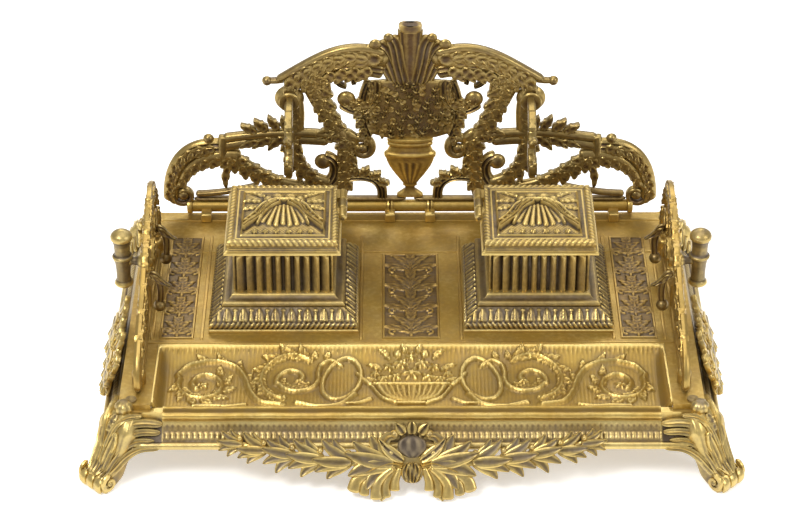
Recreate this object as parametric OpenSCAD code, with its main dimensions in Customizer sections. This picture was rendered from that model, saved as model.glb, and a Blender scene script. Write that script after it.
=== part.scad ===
// Cast brass desk stand with two hinged inkwells, a sunk pen tray and a pierced gallery.
// X runs across the stand, +Y towards the gallery at the back, Z up from the table.

/* [Base] */
// Width of the deck plate
deck_w = 292; // [280:1:310]
// Front edge of the deck plate, measured back from the middle of the stand
deck_front = -86; // [-90:1:-82]
// Back edge of the deck plate
deck_back = 96; // [90:1:100]
// Height of the deck above the table
deck_h = 40; // [38:1:46]
// Thickness of the deck plate
deck_t = 3; // [2:0.5:4]
// Height of the lower edge of the skirt above the table
skirt_low = 20; // [16:1:22]

/* [Pen tray] */
// Width of the tray
tray_w = 260; // [240:1:264]
// Line where the deck drops into the tray
tray_back = -32; // [-36:1:-30]
// Depth of the tray floor below the deck at its front edge
tray_drop = 8.5; // [7:0.5:10]

/* [Feet] */
// Width of each foot
foot_w = 18; // [14:1:22]
// Reach of the toe past the corner of the deck, along the diagonal
toe_reach = 21; // [16:1:24]

/* [Inkwells] */
// Distance of each inkwell's middle from the middle of the stand
well_x = 66; // [62:1:72]
// Inkwell middle, measured back from the middle of the stand
well_y = 16; // [12:1:22]
// Width of an inkwell at its foot
well_w = 77.4; // [74:0.2:80]
// Width of the square lid
lid_w = 60; // [56:1:62]
// Width of the reeded body
body_w = 51; // [48:1:53]
// Underside of the lid above the table
lid_z = 81.7; // [80:0.1:84]
// Radius of the glass liner
liner_r = 20; // [17:0.5:20]

/* [Gallery] */
// Middle plane of the gallery
gallery_y = 95; // [93:0.5:97]
// Thickness of the gallery casting
gallery_t = 5; // [4:0.5:6]
// Height of the top of the finial above the table
gallery_top = 158.5; // [150:0.5:166]
// Radius of the round rail under the gallery
rod_r = 3.4; // [3:0.1:4]
// Distance of each pen rest from the middle
rest_x = 65; // [60:1:70]
// Height of the rivet that holds each pen rest
rest_z = 113; // [111:0.5:115]

/* [Sides] */
// Middle plane of each side panel
panel_x = 137; // [136:0.5:139]
// Thickness of a side panel
panel_t = 4; // [3:0.5:5]
// Middle of each turned side finial
finial_x = 149; // [147:0.5:151]

/* [Hidden] */

$fn = 48;
gap = 0.1;                       // air left between two castings that only rest together
slack = 0.1;                     // air round a bolt or a stud in its hole
fit = 0.05;                      // air between a nut and its bolt
weld = 0.01;                     // growth that joins the strips of one casting
over = 1;                        // how far a cut runs past the metal
half_w = deck_w / 2;
deck_low = deck_h - deck_t;
tray_floor = deck_h - tray_drop;
toe_out = (toe_reach + foot_w / 2) / sqrt(2);
stand_back = deck_back + toe_out;
corner_front = -88;              // where the front feet's diagonals start
wing = 22;                       // length of skirt that each foot carries either way
old_gold = [0.72, 0.56, 0.24];
dark_brass = [0.45, 0.34, 0.16];
pale_brass = [0.80, 0.68, 0.38];
green_glass = [0.75, 0.85, 0.80, 0.5];

// ---------- outlines ----------
function arc(c, r, a0, a1, n = 10) =
  [for (i = [0:n]) c + r * [cos(a0 + (a1 - a0) * i / n), sin(a0 + (a1 - a0) * i / n)]];
function coil(c, r0, r1, a0, a1, n = 24) =
  [for (i = [0:n]) c + (r0 + (r1 - r0) * i / n) * [cos(a0 + (a1 - a0) * i / n), sin(a0 + (a1 - a0) * i / n)]];
function bezier(a, b, c, d, n = 12) =
  [for (i = [0:n]) let (t = i / n, s = 1 - t)
    s * s * s * a + 3 * s * s * t * b + 3 * s * t * t * c + t * t * t * d];
function unit(v) = v / norm(v);
function side_of(p, i) = let (d = unit(p[min(i + 1, len(p) - 1)] - p[max(i - 1, 0)])) [-d[1], d[0]];
function mirrored(p) = concat(p, [for (i = [len(p) - 1:-1:0]) [-p[i][0], p[i][1]]]);

// A flat strip of metal along a path, w0 wide where it starts and w1 where it ends
module strip(path, w0, w1) {
  last = len(path) - 1;
  function half(i) = (w0 + (w1 - w0) * i / last) / 2;
  polygon(concat([for (i = [0:last]) path[i] + half(i) * side_of(path, i)],
                 [for (i = [last:-1:0]) path[i] - half(i) * side_of(path, i)]));
}

// A pointed leaf lying along +Y from the origin
module leaf(length, width) {
  bulge = [for (i = [1:5]) [width / 2 * sin(180 * pow(i / 6, 0.8)), length * i / 6]];
  polygon(concat([[0, 0]], bulge, [[0, length]], [for (i = [4:-1:0]) [-bulge[i][0], bulge[i][1]]]));
}

// Draws something and its mirror image across the middle plane
module both_sides() {
  children();
  mirror([1, 0, 0]) children();
}

// Stands a drawing of (x, z) points up in the XZ plane, t thick about y
module upright(y, t) {
  translate([0, y + t / 2, 0]) rotate([90, 0, 0]) linear_extrude(t) children();
}

// Stands a drawing of (y, z) points up in the YZ plane, from x0 to x1
module sideways(x0, x1) {
  translate([x0, 0, 0]) rotate([90, 0, 90]) linear_extrude(x1 - x0) children();
}

// ---------- base ----------
module deck_plate() color(old_gold) difference() {
  translate([-half_w, deck_front, deck_low]) cube([deck_w, deck_back - deck_front, deck_t]);
  translate([-tray_w / 2, deck_front - over, deck_low - over])
    cube([tray_w, tray_back - deck_front + over, deck_t + 2 * over]);
  for (s = [-1, 1]) deck_hole([s * well_x, well_y], bolt_r);
  for (x = stud_x) deck_hole([x, gallery_stud_y], stud_r);
  for (s = [-1, 1], y = panel_lug_y) deck_hole([s * panel_x, y], stud_r);
  for (p = foot_screw_at) deck_hole(p, stud_r);
}
module deck_hole(p, r) translate([p[0], p[1], deck_low - over]) cylinder(r = r + slack, h = deck_t + 2 * over);

tray_front = -83.5;
tray_wall = 2.5;
module pen_tray() color(pale_brass) difference() {
  sideways(-tray_w / 2 + gap, tray_w / 2 - gap) polygon([
    [tray_back - gap, deck_h], [tray_front, deck_h], [tray_front, tray_floor - tray_wall],
    [-60, tray_floor - tray_wall], [-40, 33], [tray_back - gap, 35]]);
  sideways(-tray_w / 2 + tray_wall, tray_w / 2 - tray_wall) polygon(concat(
    [[tray_front - 1, deck_h + 1], [tray_front - 1, tray_floor], [-62, tray_floor + 0.4]],
    bezier([-60, tray_floor + 0.5], [-48, 33.4], [-40, 35], [tray_back - 2, deck_h]),
    [[tray_back - 2, deck_h + over]]));
}

module tray_rail() color(pale_brass) sideways(-skirt_end, skirt_end) polygon(concat(
  [[tray_front - gap, 33], [tray_front - gap, 37.2]], arc([-84.8, 37.1], 1.1, 20, 160, 6),
  [[-86.2, 36.4], [-87, 36.2]], arc([-88.3, 34.9], 1.6, 60, 240, 8), [[-90, 33.4], [-90.3, 33]]));

// Half of the moulded skirt's section: x is measured out from the deck's edge
skirt_out = 10;                  // how far the skirt leans out at its bead
flange = 4;                      // how far the skirt reaches in under the deck
skirt_section = concat(
  [[-flange, deck_low - gap], [-0.5, deck_low - gap], [0.5, 34], [2, 31]],
  [[5, skirt_low + 6], [7.4, skirt_low + 4.4]],
  arc([8, skirt_low + 2.2], 2, 100, -80, 8), [[6, skirt_low], [3, skirt_low + 1.5], [-1, 30], [-flange, 33]]);
front_section = concat(
  [[-76, 28.4], [tray_front, 28.4], [tray_front, 32.9], [-89.4, 32.9], [-90.4, 30], [-93, skirt_low + 6]],
  [[-95.4, skirt_low + 4.4]], arc([corner_front - 8, skirt_low + 2.2], 2, 80, 260, 8),
  [[-94, skirt_low], [-91, skirt_low + 1.5], [-86, 25.4], [-76, 25.4]]);
skirt_end = half_w - wing;

module front_skirt() color(old_gold) sideways(-skirt_end, skirt_end) polygon(front_section);
module back_skirt() color(old_gold)
  translate([0, deck_back, 0]) sideways(-skirt_end, skirt_end) polygon(skirt_section);
module side_skirt() translate([half_w, 0, 0]) rotate([90, 0, 0])
  translate([0, 0, wing - deck_back]) linear_extrude(deck_back - corner_front - 2 * wing) polygon(skirt_section);
module right_skirt() color(old_gold) side_skirt();
module left_skirt() color(old_gold) mirror([1, 0, 0]) side_skirt();

toe_r = 4.2;
// One foot with the mitred ends of the skirt that it carries; the deck's corner is at the origin
module corner_wing() intersection() {
  rotate([90, 0, 90]) translate([0, 0, gap - wing]) linear_extrude(wing + skirt_out + 4) polygon(skirt_section);
  translate([0, 0, -1]) linear_extrude(deck_h + 2) polygon([[-wing, -wing], [16, 16], [-wing, 16]]);
}
module foot() {
  corner_wing();
  mirror([1, -1, 0]) corner_wing();
  rotate([0, 0, 45]) rotate([90, 0, 0]) translate([0, 0, -foot_w / 2]) linear_extrude(foot_w) polygon(concat(
    [[-12, deck_low - gap], [-1, deck_low - gap], [1, 33]], bezier([2, 30], [6, 20], [10, 12], [16, 8.5], 8),
    arc([toe_reach - toe_r, toe_r], toe_r, 60, -90, 8), [[3, 0], [1.5, 2]],
    bezier([1, 4], [0, 14], [-4, 20], [-12, 24], 8)));
}
module place_foot(sx, y, sy) translate([sx * half_w, y, 0])
  mirror([sx < 0 ? 1 : 0, 0, 0]) mirror([0, sy < 0 ? 1 : 0, 0]) difference() {
    foot();
    translate([-screw_in, -screw_in, deck_low - screw_bite - over])
      cylinder(r = stud_r, h = screw_bite + 2 * over);
  }
module front_left_foot() color(old_gold) place_foot(-1, corner_front, -1);
module front_right_foot() color(old_gold) place_foot(1, corner_front, -1);
module back_left_foot() color(old_gold) place_foot(-1, deck_back, 1);
module back_right_foot() color(old_gold) place_foot(1, deck_back, 1);

stud_r = 1.5;                    // gallery studs and small screws
bolt_r = 2;                      // inkwell bolts
head_r = 2.8;                    // flat heads of the small screws
head_t = 1;
screw_bite = 8;                  // how far a foot's screw reaches down into it
screw_in = 6;                    // each foot's screw, measured in from the deck's corner
foot_screw_at = [for (sx = [-1, 1], e = [[corner_front, -1], [deck_back, 1]])
  [sx * (half_w - screw_in), e[0] - e[1] * screw_in]];
module flat_screw(length) {
  cylinder(r = stud_r - fit, h = length);
  translate([0, 0, length]) cylinder(r = head_r, h = head_t);
}
module foot_screws() color(dark_brass)
  for (p = foot_screw_at) translate([p[0], p[1], deck_low - screw_bite]) flat_screw(deck_t + screw_bite);

// ---------- garlands ----------
// Leaf sprays lie on a plane that leans out from the skirt's bead towards the table
lean = 33;
lean_z = 24.3;
bow_t = 4;
bow_low = -28;                   // lowest tip of the ribbon, down the leaning plane
lean_y = -stand_back - bow_low * sin(lean) + bow_t * cos(lean);
module on_lean() translate([0, lean_y, lean_z]) rotate([90 - lean, 0, 0]) children();
garland_t = 2.5;
sprays = [[82, 0, -64], [72, -2, -75], [60, -3, -62], [50, -4, -80], [40, -5, -66], [31, -7, -80],
  [24, -8, -66]];
module front_garland() color(old_gold) on_lean() linear_extrude(garland_t) offset(delta = weld) difference() {
  for (m = [0, 1]) mirror([m, 0]) {
    strip(bezier([92, 1], [70, -4], [40, -6], [10, -8]), 5, 8);
    for (s = sprays) {
      translate([s[0], s[1]]) rotate(s[2]) leaf(17, 8);
      translate([s[0], s[1] - 2]) rotate(s[2] - 65) leaf(13, 7);
    }
  }
  offset(delta = gap) bow_outline();
}
module bow_outline() {
  translate([0, 2]) circle(r = 7.5);
  translate([0, -12]) circle(r = 6.5);
  for (m = [0, 1]) mirror([m, 0]) {
    strip(bezier([2, -10], [12, -6], [24, -12], [30, -19]), 6, 8);
    strip(bezier([3, -13], [8, -18], [10, -22], [13, bow_low + 1.8]), 6, 5);
  }
}
module ribbon_bow() color(pale_brass) on_lean() linear_extrude(bow_t) offset(delta = weld) intersection() {
  bow_outline();
  translate([-50, bow_low]) square([100, 60]);
}

side_spray = [[-62, 30, -20], [-50, 27, 15], [-38, 30, -15], [-26, 27, 20], [-14, 32, -10], [2, 28, 15],
  [16, 30, -15]];
garland_low = skirt_low + 5.5;   // the side sprays rest on top of the skirt's bead
module side_garland() translate([half_w + 6.2, 0, 0]) rotate([90, 0, 90]) linear_extrude(garland_t)
  offset(delta = weld) intersection() {
    union() {
      strip(bezier([-65, 28], [-40, 27], [-10, 27], [26, 29]), 6, 6);
      for (s = side_spray) translate([s[0], s[1] - 4]) rotate(s[2]) leaf(20, 10);
    }
    translate([-65.9, garland_low]) square([130, 40]);
  }
module right_garland() color(old_gold) side_garland();
module left_garland() color(old_gold) mirror([1, 0, 0]) side_garland();

// ---------- gallery ----------
rod_z = 45.2;
rod_end = 123;
collar_x = [11, 121.5];
collar_t = 3;
collar_r = 4.5;
stud_x = [-112, -11, 11, 112];
gallery_stud_y = deck_back - 8;
block = 6;                       // square blocks that hold the rod off the deck
module along_x(x0, x1, r) translate([x0, gallery_y, rod_z]) rotate([0, 90, 0]) cylinder(r = r, h = x1 - x0);
module gallery_rod() color(pale_brass) {
  along_x(-rod_end, rod_end, rod_r);
  both_sides() for (x = collar_x) along_x(x - collar_t / 2, x + collar_t / 2, collar_r);
  for (x = stud_x) translate([x - block / 2, gallery_stud_y - block / 2, deck_h])
    cube([block, gallery_y - gallery_stud_y + block / 2, rod_z - deck_h]);
}
module gallery_studs() color(dark_brass) for (x = stud_x)
  translate([x, gallery_stud_y, deck_low - 5]) cylinder(r = stud_r, h = deck_t + 5);
module hex_nut(r, h, hole) difference() {
  cylinder(r = r, h = h, $fn = 6);
  translate([0, 0, -1]) cylinder(r = hole, h = h + 2);
}
module gallery_nuts() color(dark_brass) for (x = stud_x)
  translate([x, gallery_stud_y, deck_low - 2.6]) hex_nut(3.2, 2.5, stud_r + fit);

sole_z = rod_z + rod_r;          // the scrollwork stands on the rod
corner_volute = [124.5, 52.4];
boss_r = 6.6;                    // carries the pen rest
module scroll_half() {
  // bottom strip and corner volute
  strip([[0, sole_z + 1.3], [120, sole_z + 1.3]], 2.4, 2.4);
  strip(coil(corner_volute, 7.4, 3.2, 90, -330), 3.6, 2.4);
  translate(corner_volute) circle(r = 2.2);
  // outer shoulder and its bump
  strip(bezier([108, 84], [124, 81], [134, 74], [134, 56]), 6.5, 4.5);
  translate([109, 86.5]) circle(r = 3.2);
  // long double rail and the leaf step on it
  strip(bezier([16, 92], [50, 93], [80, 91], [110, 82]), 6, 6.5);
  polygon([[66, 92], [67, 101.5], [72, 103], [79, 98], [90, 91.5]]);
  strip(bezier([110, 84], [104, 78], [100, 70], [90, 65]), 6, 4);
  // upper wing with its ball end, and the boss that carries the pen rest
  strip(bezier([12, 139], [38, 149], [46, 132], [71, 123]), 9, 6);
  strip([[68, 124], [76, 123.8]], 3.5, 3);
  translate([76.5, 123.8]) circle(r = 2.7);
  translate([rest_x, rest_z]) circle(r = boss_r);
  strip(bezier([66, 120], [58, 116], [54, 104], [62, 93]), 5, 6);
  // inner curl under the wing
  strip(bezier([46, 130], [50, 118], [44, 106], [36, 108]), 4.5, 4);
  translate([35.5, 112]) circle(r = 4.2);
  strip(bezier([25, 96], [34, 98], [40, 102], [38, 110]), 4.5, 4);
  // lower scrolls
  strip(bezier([66, 91], [72, 74], [60, 58], [46, 62]), 6, 5);
  strip(coil([45, 71.5], 9.5, 4.2, 260, -10), 4.6, 3.2);
  translate([48, 73.5]) circle(r = 3.2);
  strip(bezier([66, 88], [72, 66], [84, 60], [101, 66]), 5, 4);
  strip(bezier([101, 74], [101, 66], [103, 60], [98, 57]), 4, 2.5);
  strip(bezier([36, 58], [50, 62], [66, 62], [84, 60]), 2.2, 2.2);
  strip(bezier([84, 60], [90, 54], [100, 52], [117, 53]), 3, 3);
  strip(bezier([56, 61], [62, 58], [66, 54], [67, 49]), 4, 4);
  // volute and legs beside the urn
  strip(coil([26, 82], 6.4, 2.6, 60, 400), 3.4, 2.6);
  strip(bezier([24, 91], [30, 92], [34, 88], [33, 80]), 4, 3.5);
  strip(bezier([38, 64], [30, 72], [28, 66], [18, 62]), 4, 4);
  strip(bezier([20, 62], [12, 62], [12, 56], [17, 49]), 4, 4);
  strip(bezier([30, 77], [34, 70], [36, 66], [38, 60]), 4, 4);
  strip([[38, 62], [38, 49]], 4, 4);
}
module gallery_scrollwork() color(dark_brass) difference() {
  pierced_scrolls();
  both_sides() rivet_hole();
}
rivet_r = 1.2;
module rivet_hole() translate([rest_x, gallery_y + 20, rest_z]) rotate([90, 0, 0])
  cylinder(r = rivet_r + fit, h = 40);
module pierced_scrolls() upright(gallery_y, gallery_t) difference() {
  offset(delta = weld) both_sides() scroll_half();
  offset(delta = gap) {
    urn_shape();
    plume_shape();
    translate([-rod_end, rod_z - 10]) square([2 * rod_end, rod_r + 10]);
    for (x = collar_x, s = [-1, 1]) translate([s * x - collar_t / 2, rod_z - 10])
      square([collar_t, collar_r + 10]);
  }
}
relief = 1.5;                    // how much thicker the urn and the plume are than the scrolls
module urn_shape() {
  polygon(mirrored(concat([[0, 51.2], [7, 51.2], [7, 53], [2.5, 56], [2.2, 58]],
    bezier([4, 61], [12, 64], [15, 74], [13.5, 79]), [[11, 82], [8.5, 85], [11.5, 88]],
    bezier([24, 92], [28, 104], [26, 118], [18, 124]), [[12, 122], [0, 122]])));
}
module gallery_urn() color(old_gold) upright(gallery_y - relief / 2, gallery_t + relief) urn_shape();
module plume_shape() polygon(mirrored(concat([[0, 122.2], [11.9, 122.2], [13, 128], [12, 136]],
  arc([16, 145.5], 5, -110, 110, 10), [[10.5, 148], [8, 153], [6.6, 154.2]],
  [[6.6, gallery_top], [0, gallery_top]])));
module plume_finial() color(pale_brass) upright(gallery_y - relief / 2, gallery_t + relief) plume_shape();

// A flat cast arm with two upturned pen hooks, standing forward of the gallery
arm_t = 5;
module pen_rest() difference() {
  sideways(rest_x - arm_t / 2, rest_x + arm_t / 2) offset(delta = weld) {
    front = gallery_y - gallery_t / 2 - gap;
    polygon([[front, rest_z - 6], [front, rest_z + 6], [front - 3, rest_z + 6], [front - 3, rest_z - 6]]);
    strip(bezier([front - 2, rest_z], [84, 116], [76, 112], [74, 104]), 6, 5);
    strip(bezier([74, 105], [72, 98], [66, 97], [63, 104]), 5, 3.4);
    strip(bezier([76, 104], [78, 92], [68, 84], [60, 86]), 5, 4);
    strip(bezier([61, 86], [56, 86], [55, 90], [56, 94]), 4, 3);
  }
  rivet_hole();
}
module right_pen_rest() color(dark_brass) pen_rest();
module left_pen_rest() color(dark_brass) mirror([1, 0, 0]) pen_rest();
module pen_rest_rivets() color(pale_brass) both_sides()
  translate([rest_x, gallery_y + gallery_t / 2 + gap + head_t, rest_z]) rotate([90, 0, 0]) {
    cylinder(r = head_r, h = head_t);
    cylinder(r = rivet_r, h = 9);
  }

// ---------- sides ----------
panel_lug_y = [-66, 58];
lug_r = 3.6;
lug_h = 7;
module panel_half_outline() offset(delta = weld) {
  strip(bezier([-76, 42], [-76, 58], [-60, 60], [-44, 66]), 5, 5);
  strip(bezier([-46, 66], [-20, 70], [0, 86], [26, 89]), 5, 6);
  strip(bezier([24, 89], [44, 94], [58, 84], [54, 70]), 6, 5);
  strip(coil([46, 68], 9, 3.5, 10, -300), 4.5, 3);
  strip(bezier([56, 66], [66, 58], [66, 50], [60, 42]), 5, 5);
  strip([[-78, 41.5], [70, 41.5]], 2.6, 2.6);
  strip(bezier([-46, 64], [-56, 54], [-44, 44], [-34, 50]), 4.5, 3.5);
  strip(coil([-33, 56], 6.5, 3, 260, 520), 3.6, 2.6);
  strip(bezier([-30, 48], [-20, 42], [-14, 56], [-13, 70]), 4, 5);
  strip(bezier([-13, 72], [-4, 56], [10, 46], [20, 50]), 4.5, 3.5);
  strip(coil([20, 57], 7, 3, 270, 560), 3.8, 2.6);
  strip(bezier([26, 54], [30, 60], [34, 66], [38, 72]), 4, 4);
  strip(bezier([32, 73], [34, 80], [32, 84], [32, 88]), 5, 4);
  strip(bezier([30, 50], [40, 56], [44, 50], [48, 42]), 4, 4);
  strip([[0, 40.5], [0, 58]], 4, 4);
  strip([[-10, 70], [8, 70]], 5, 5);
}
module side_panel() difference() {
  union() {
    sideways(panel_x - panel_t / 2, panel_x + panel_t / 2) intersection() {
      panel_half_outline();
      translate([-84, deck_h]) square([160, 70]);
    }
    for (y = panel_lug_y) translate([panel_x, y, deck_h]) cylinder(r = lug_r, h = lug_h);
  }
  for (y = panel_lug_y) translate([panel_x, y, deck_h - over]) cylinder(r = stud_r, h = lug_h);
  translate([panel_x - panel_t, 0, finial_mid]) rotate([0, 90, 0])
    cylinder(r = tenon_r + slack, h = 2 * panel_t);
}
module right_side_panel() color(old_gold) side_panel();
module left_side_panel() color(old_gold) mirror([1, 0, 0]) side_panel();
module side_panel_screws() color(dark_brass) both_sides() for (y = panel_lug_y)
  translate([panel_x, y, deck_low - head_t - gap]) {
    cylinder(r = head_r, h = head_t);
    cylinder(r = stud_r - fit, h = deck_t + lug_h - over);
  }

finial_low = 55.5;
finial_mid = 70;                 // height of the arm that holds the finial
tenon_r = 1.5;
finial_arm = finial_x - panel_x - panel_t / 2;
module side_finial() {
  translate([finial_x, 0, finial_low]) rotate_extrude() polygon(concat(
    [[0, 0], [4.2, 0], [4.9, 1], [4.7, 2.4], [3.7, 3.6]], bezier([3.5, 6], [3.5, 10], [3.9, 13], [4.4, 16], 6),
    arc([4.3, 17.5], 1.1, -90, 90, 6), [[4.1, 19], [4.2, 24], [4.7, 27.4], [5.5, 28.2]],
    bezier([6, 29], [5.6, 32], [3, 33.2], [0, 33.5], 6)));
  translate([panel_x + panel_t / 2 + gap, 0, finial_mid]) rotate([0, 90, 0])
    cylinder(r = 2 * tenon_r, h = finial_arm);
  translate([panel_x - panel_t / 2 - over, 0, finial_mid]) rotate([0, 90, 0])
    cylinder(r = tenon_r, h = finial_arm);
}
module right_side_finial() color(pale_brass) side_finial();
module left_side_finial() color(pale_brass) mirror([1, 0, 0]) side_finial();

hook_y = [-13, 32];
hook_ball = [panel_x - 7, 51];
hook_ball_r = 3.2;
hook_t = 3;
module pen_hooks() for (y = hook_y) translate([0, y, 0]) {
  rotate([90, 0, 0]) translate([0, 0, -hook_t / 2]) linear_extrude(hook_t) offset(delta = weld)
    strip(bezier([panel_x - panel_t / 2 - 2 * gap, 70], [hook_ball[0] - 1, 70], [hook_ball[0] - 2, 62],
      hook_ball), 4.5, hook_t);
  translate([hook_ball[0], 0, hook_ball[1]]) sphere(r = hook_ball_r);
}
module right_pen_hooks() color(dark_brass) pen_hooks();
module left_pen_hooks() color(dark_brass) mirror([1, 0, 0]) pen_hooks();

// ---------- inkwells ----------
// Modules below draw the right-hand well about its own middle; the hinge is on its inner side
base_top = 56;
body_top = lid_z - 0.2;
well_wall = 4;
hinge_x = -30.4;                 // hinge axis from the well's middle, towards the stand's middle
hinge_z = 83.6;
hinge_y0 = 3;                    // the hinge takes up the back half of that side
hinge_y1 = 30;
barrel_r = 2.4;
pin_r = 1;
pin_fit = 0.04;
knuckle = 8.6;                   // length of each of the three knuckles
knuckle_y = [hinge_y0, hinge_y0 + knuckle + 0.6, hinge_y1 - knuckle];

module at_right() translate([well_x, well_y, 0]) children();
module at_left() mirror([1, 0, 0]) at_right() children();

// A square block whose four sides carry the same moulding
module square_moulding(half_section, reach) intersection() {
  translate([0, reach, 0]) rotate([90, 0, 0]) linear_extrude(2 * reach) polygon(mirrored(half_section));
  translate([-reach, 0, 0]) rotate([90, 0, 90]) linear_extrude(2 * reach) polygon(mirrored(half_section));
}

module well_base() difference() {
  square_moulding(concat([[well_w / 2, deck_h], [well_w / 2, 41.5], [37.6, 41.9]],
    arc([36.4, 43.7], 1.8, -70, 70, 6), [[36, 45.8], [31.4, 50.4], [31.2, 51]],
    arc([30, 52.5], 1.7, -60, 70, 6), [[28.8, 54.6], [28.8, base_top]]), well_w);
  translate([-26, -26, deck_h - 1]) cube([52, 52, 12]);
  translate([0, 0, deck_h]) cylinder(r = bolt_r + slack, h = 20);
}

reeds = 10;
reed_pitch = (body_w - 3) / reeds;
reed_side = [for (i = [0:reeds - 1])
  each arc([body_w / 2 - 1.5, (i - reeds / 2 + 0.5) * reed_pitch], 1.8, -75, 75, 4)];
function turned(p, a) = [for (q = p) [q[0] * cos(a) - q[1] * sin(a), q[0] * sin(a) + q[1] * cos(a)]];
module well_body() difference() {
  union() {
    translate([0, 0, base_top]) linear_extrude(body_top - 2 - base_top)
      polygon([for (k = [0:3]) each turned(reed_side, 90 * k)]);
    translate([-body_w / 2 - 0.5, -body_w / 2 - 0.5, body_top - 2]) cube([body_w + 1, body_w + 1, 2]);
    translate([hinge_x, knuckle_y[1], body_top - 2]) cube([6, knuckle, 2]);
    translate([hinge_x, knuckle_y[1], body_top - 2]) cube([2.9, knuckle, hinge_z - body_top + 2]);
    translate([hinge_x, knuckle_y[1], hinge_z]) rotate([-90, 0, 0]) cylinder(r = barrel_r, h = knuckle);
  }
  translate([-body_w / 2 + well_wall, -body_w / 2 + well_wall, base_top + 2])
    cube([body_w - 2 * well_wall, body_w - 2 * well_wall, body_top - base_top - 4]);
  translate([0, 0, base_top - 1]) cylinder(r = bolt_r + slack, h = 6);
  translate([0, 0, body_top - 4]) cylinder(r = liner_r + 0.4, h = 8);
  pin_hole(pin_r + pin_fit);
}
module pin_hole(r) translate([hinge_x, hinge_y0 - over, hinge_z]) rotate([-90, 0, 0])
  cylinder(r = r, h = hinge_y1 - hinge_y0 + 2 * over);

liner_low = 61;
liner_t = 2.4;                   // thickness of the glass
module ink_liner() rotate_extrude() polygon([
  [0, liner_low], [liner_r - 2, liner_low], [liner_r, liner_low + 2], [liner_r, body_top + 0.1],
  [liner_r + 1.6, body_top + 0.1], [liner_r + 1.6, body_top + 1.4], [liner_r - 1, body_top + 1.8],
  [liner_r - liner_t, body_top + 1.2], [liner_r - liner_t, liner_low + 4], [liner_r - 4, liner_low + liner_t],
  [0, liner_low + liner_t]]);

lid_top = 94;
module lid() difference() {
  square_moulding(concat([[lid_w / 2, lid_z], [lid_w / 2, 85.2], [28.8, 85.6]],
    arc([29.6, 87.2], 1.8, 230, 130, 5),
    arc([26.4, 88.6], 1.5, 45, 150, 5), [[24.8, 88.6], [10, 92.6], [4, lid_top]]), lid_w);
  translate([-24, -24, lid_z - 1]) cube([48, 48, 4.4]);
  translate([hinge_x - 3, hinge_y0 - 0.2, lid_z - over])
    cube([3 + barrel_r + 0.9, hinge_y1 - hinge_y0 + 2, lid_top]);
}
module lid_knuckle(y) {
  difference() {
    union() {
      translate([hinge_x, y, hinge_z]) rotate([-90, 0, 0]) cylinder(r = barrel_r, h = knuckle);
      translate([hinge_x, y, hinge_z]) cube([barrel_r + 1.2, knuckle, 1.6]);
    }
    pin_hole(pin_r + pin_fit);
  }
}
module lid_with_knuckles() {
  lid();
  for (i = [0, 2]) lid_knuckle(knuckle_y[i]);
}
module hinge_pin() translate([hinge_x, hinge_y0, hinge_z]) rotate([-90, 0, 0])
  cylinder(r = pin_r, h = hinge_y1 - hinge_y0);

module right_well_base() color(dark_brass) at_right() well_base();
module right_well_body() color(pale_brass) at_right() well_body();
module right_ink_liner() color(green_glass) at_right() ink_liner();
module right_lid() color(old_gold) at_right() lid_with_knuckles();
module right_hinge_pin() color(dark_brass) at_right() hinge_pin();
module left_well_base() color(dark_brass) at_left() well_base();
module left_well_body() color(pale_brass) at_left() well_body();
module left_ink_liner() color(green_glass) at_left() ink_liner();
module left_lid() color(old_gold) at_left() lid_with_knuckles();
module left_hinge_pin() color(dark_brass) at_left() hinge_pin();

module well_bolts() color(dark_brass) both_sides() at_right() {
  translate([0, 0, deck_low - 6]) cylinder(r = bolt_r, h = base_top + 2 - deck_low + 6.1);
  translate([0, 0, base_top + 2.1]) cylinder(r = 4, h = 2);
}
module well_nuts() color(dark_brass) both_sides() at_right()
  translate([0, 0, deck_low - 3.3]) hex_nut(4.2, 3.2, bolt_r + fit);

deck_plate();
pen_tray();
tray_rail();
front_skirt();
back_skirt();
left_skirt();
right_skirt();
front_left_foot();
front_right_foot();
back_left_foot();
back_right_foot();
foot_screws();
front_garland();
ribbon_bow();
left_garland();
right_garland();
gallery_rod();
gallery_studs();
gallery_nuts();
gallery_scrollwork();
gallery_urn();
plume_finial();
left_pen_rest();
right_pen_rest();
pen_rest_rivets();
left_side_panel();
right_side_panel();
side_panel_screws();
left_side_finial();
right_side_finial();
left_pen_hooks();
right_pen_hooks();
left_well_base();
left_well_body();
left_ink_liner();
left_lid();
left_hinge_pin();
right_well_base();
right_well_body();
right_ink_liner();
right_lid();
right_hinge_pin();
well_bolts();
well_nuts();
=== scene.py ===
"""Cast brass desk stand: the worked ornament, finishes and studio around the plain frame.

Drawings are in millimetres on a named surface of the stand, and pieces are placed in metres.
"""

import math

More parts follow.
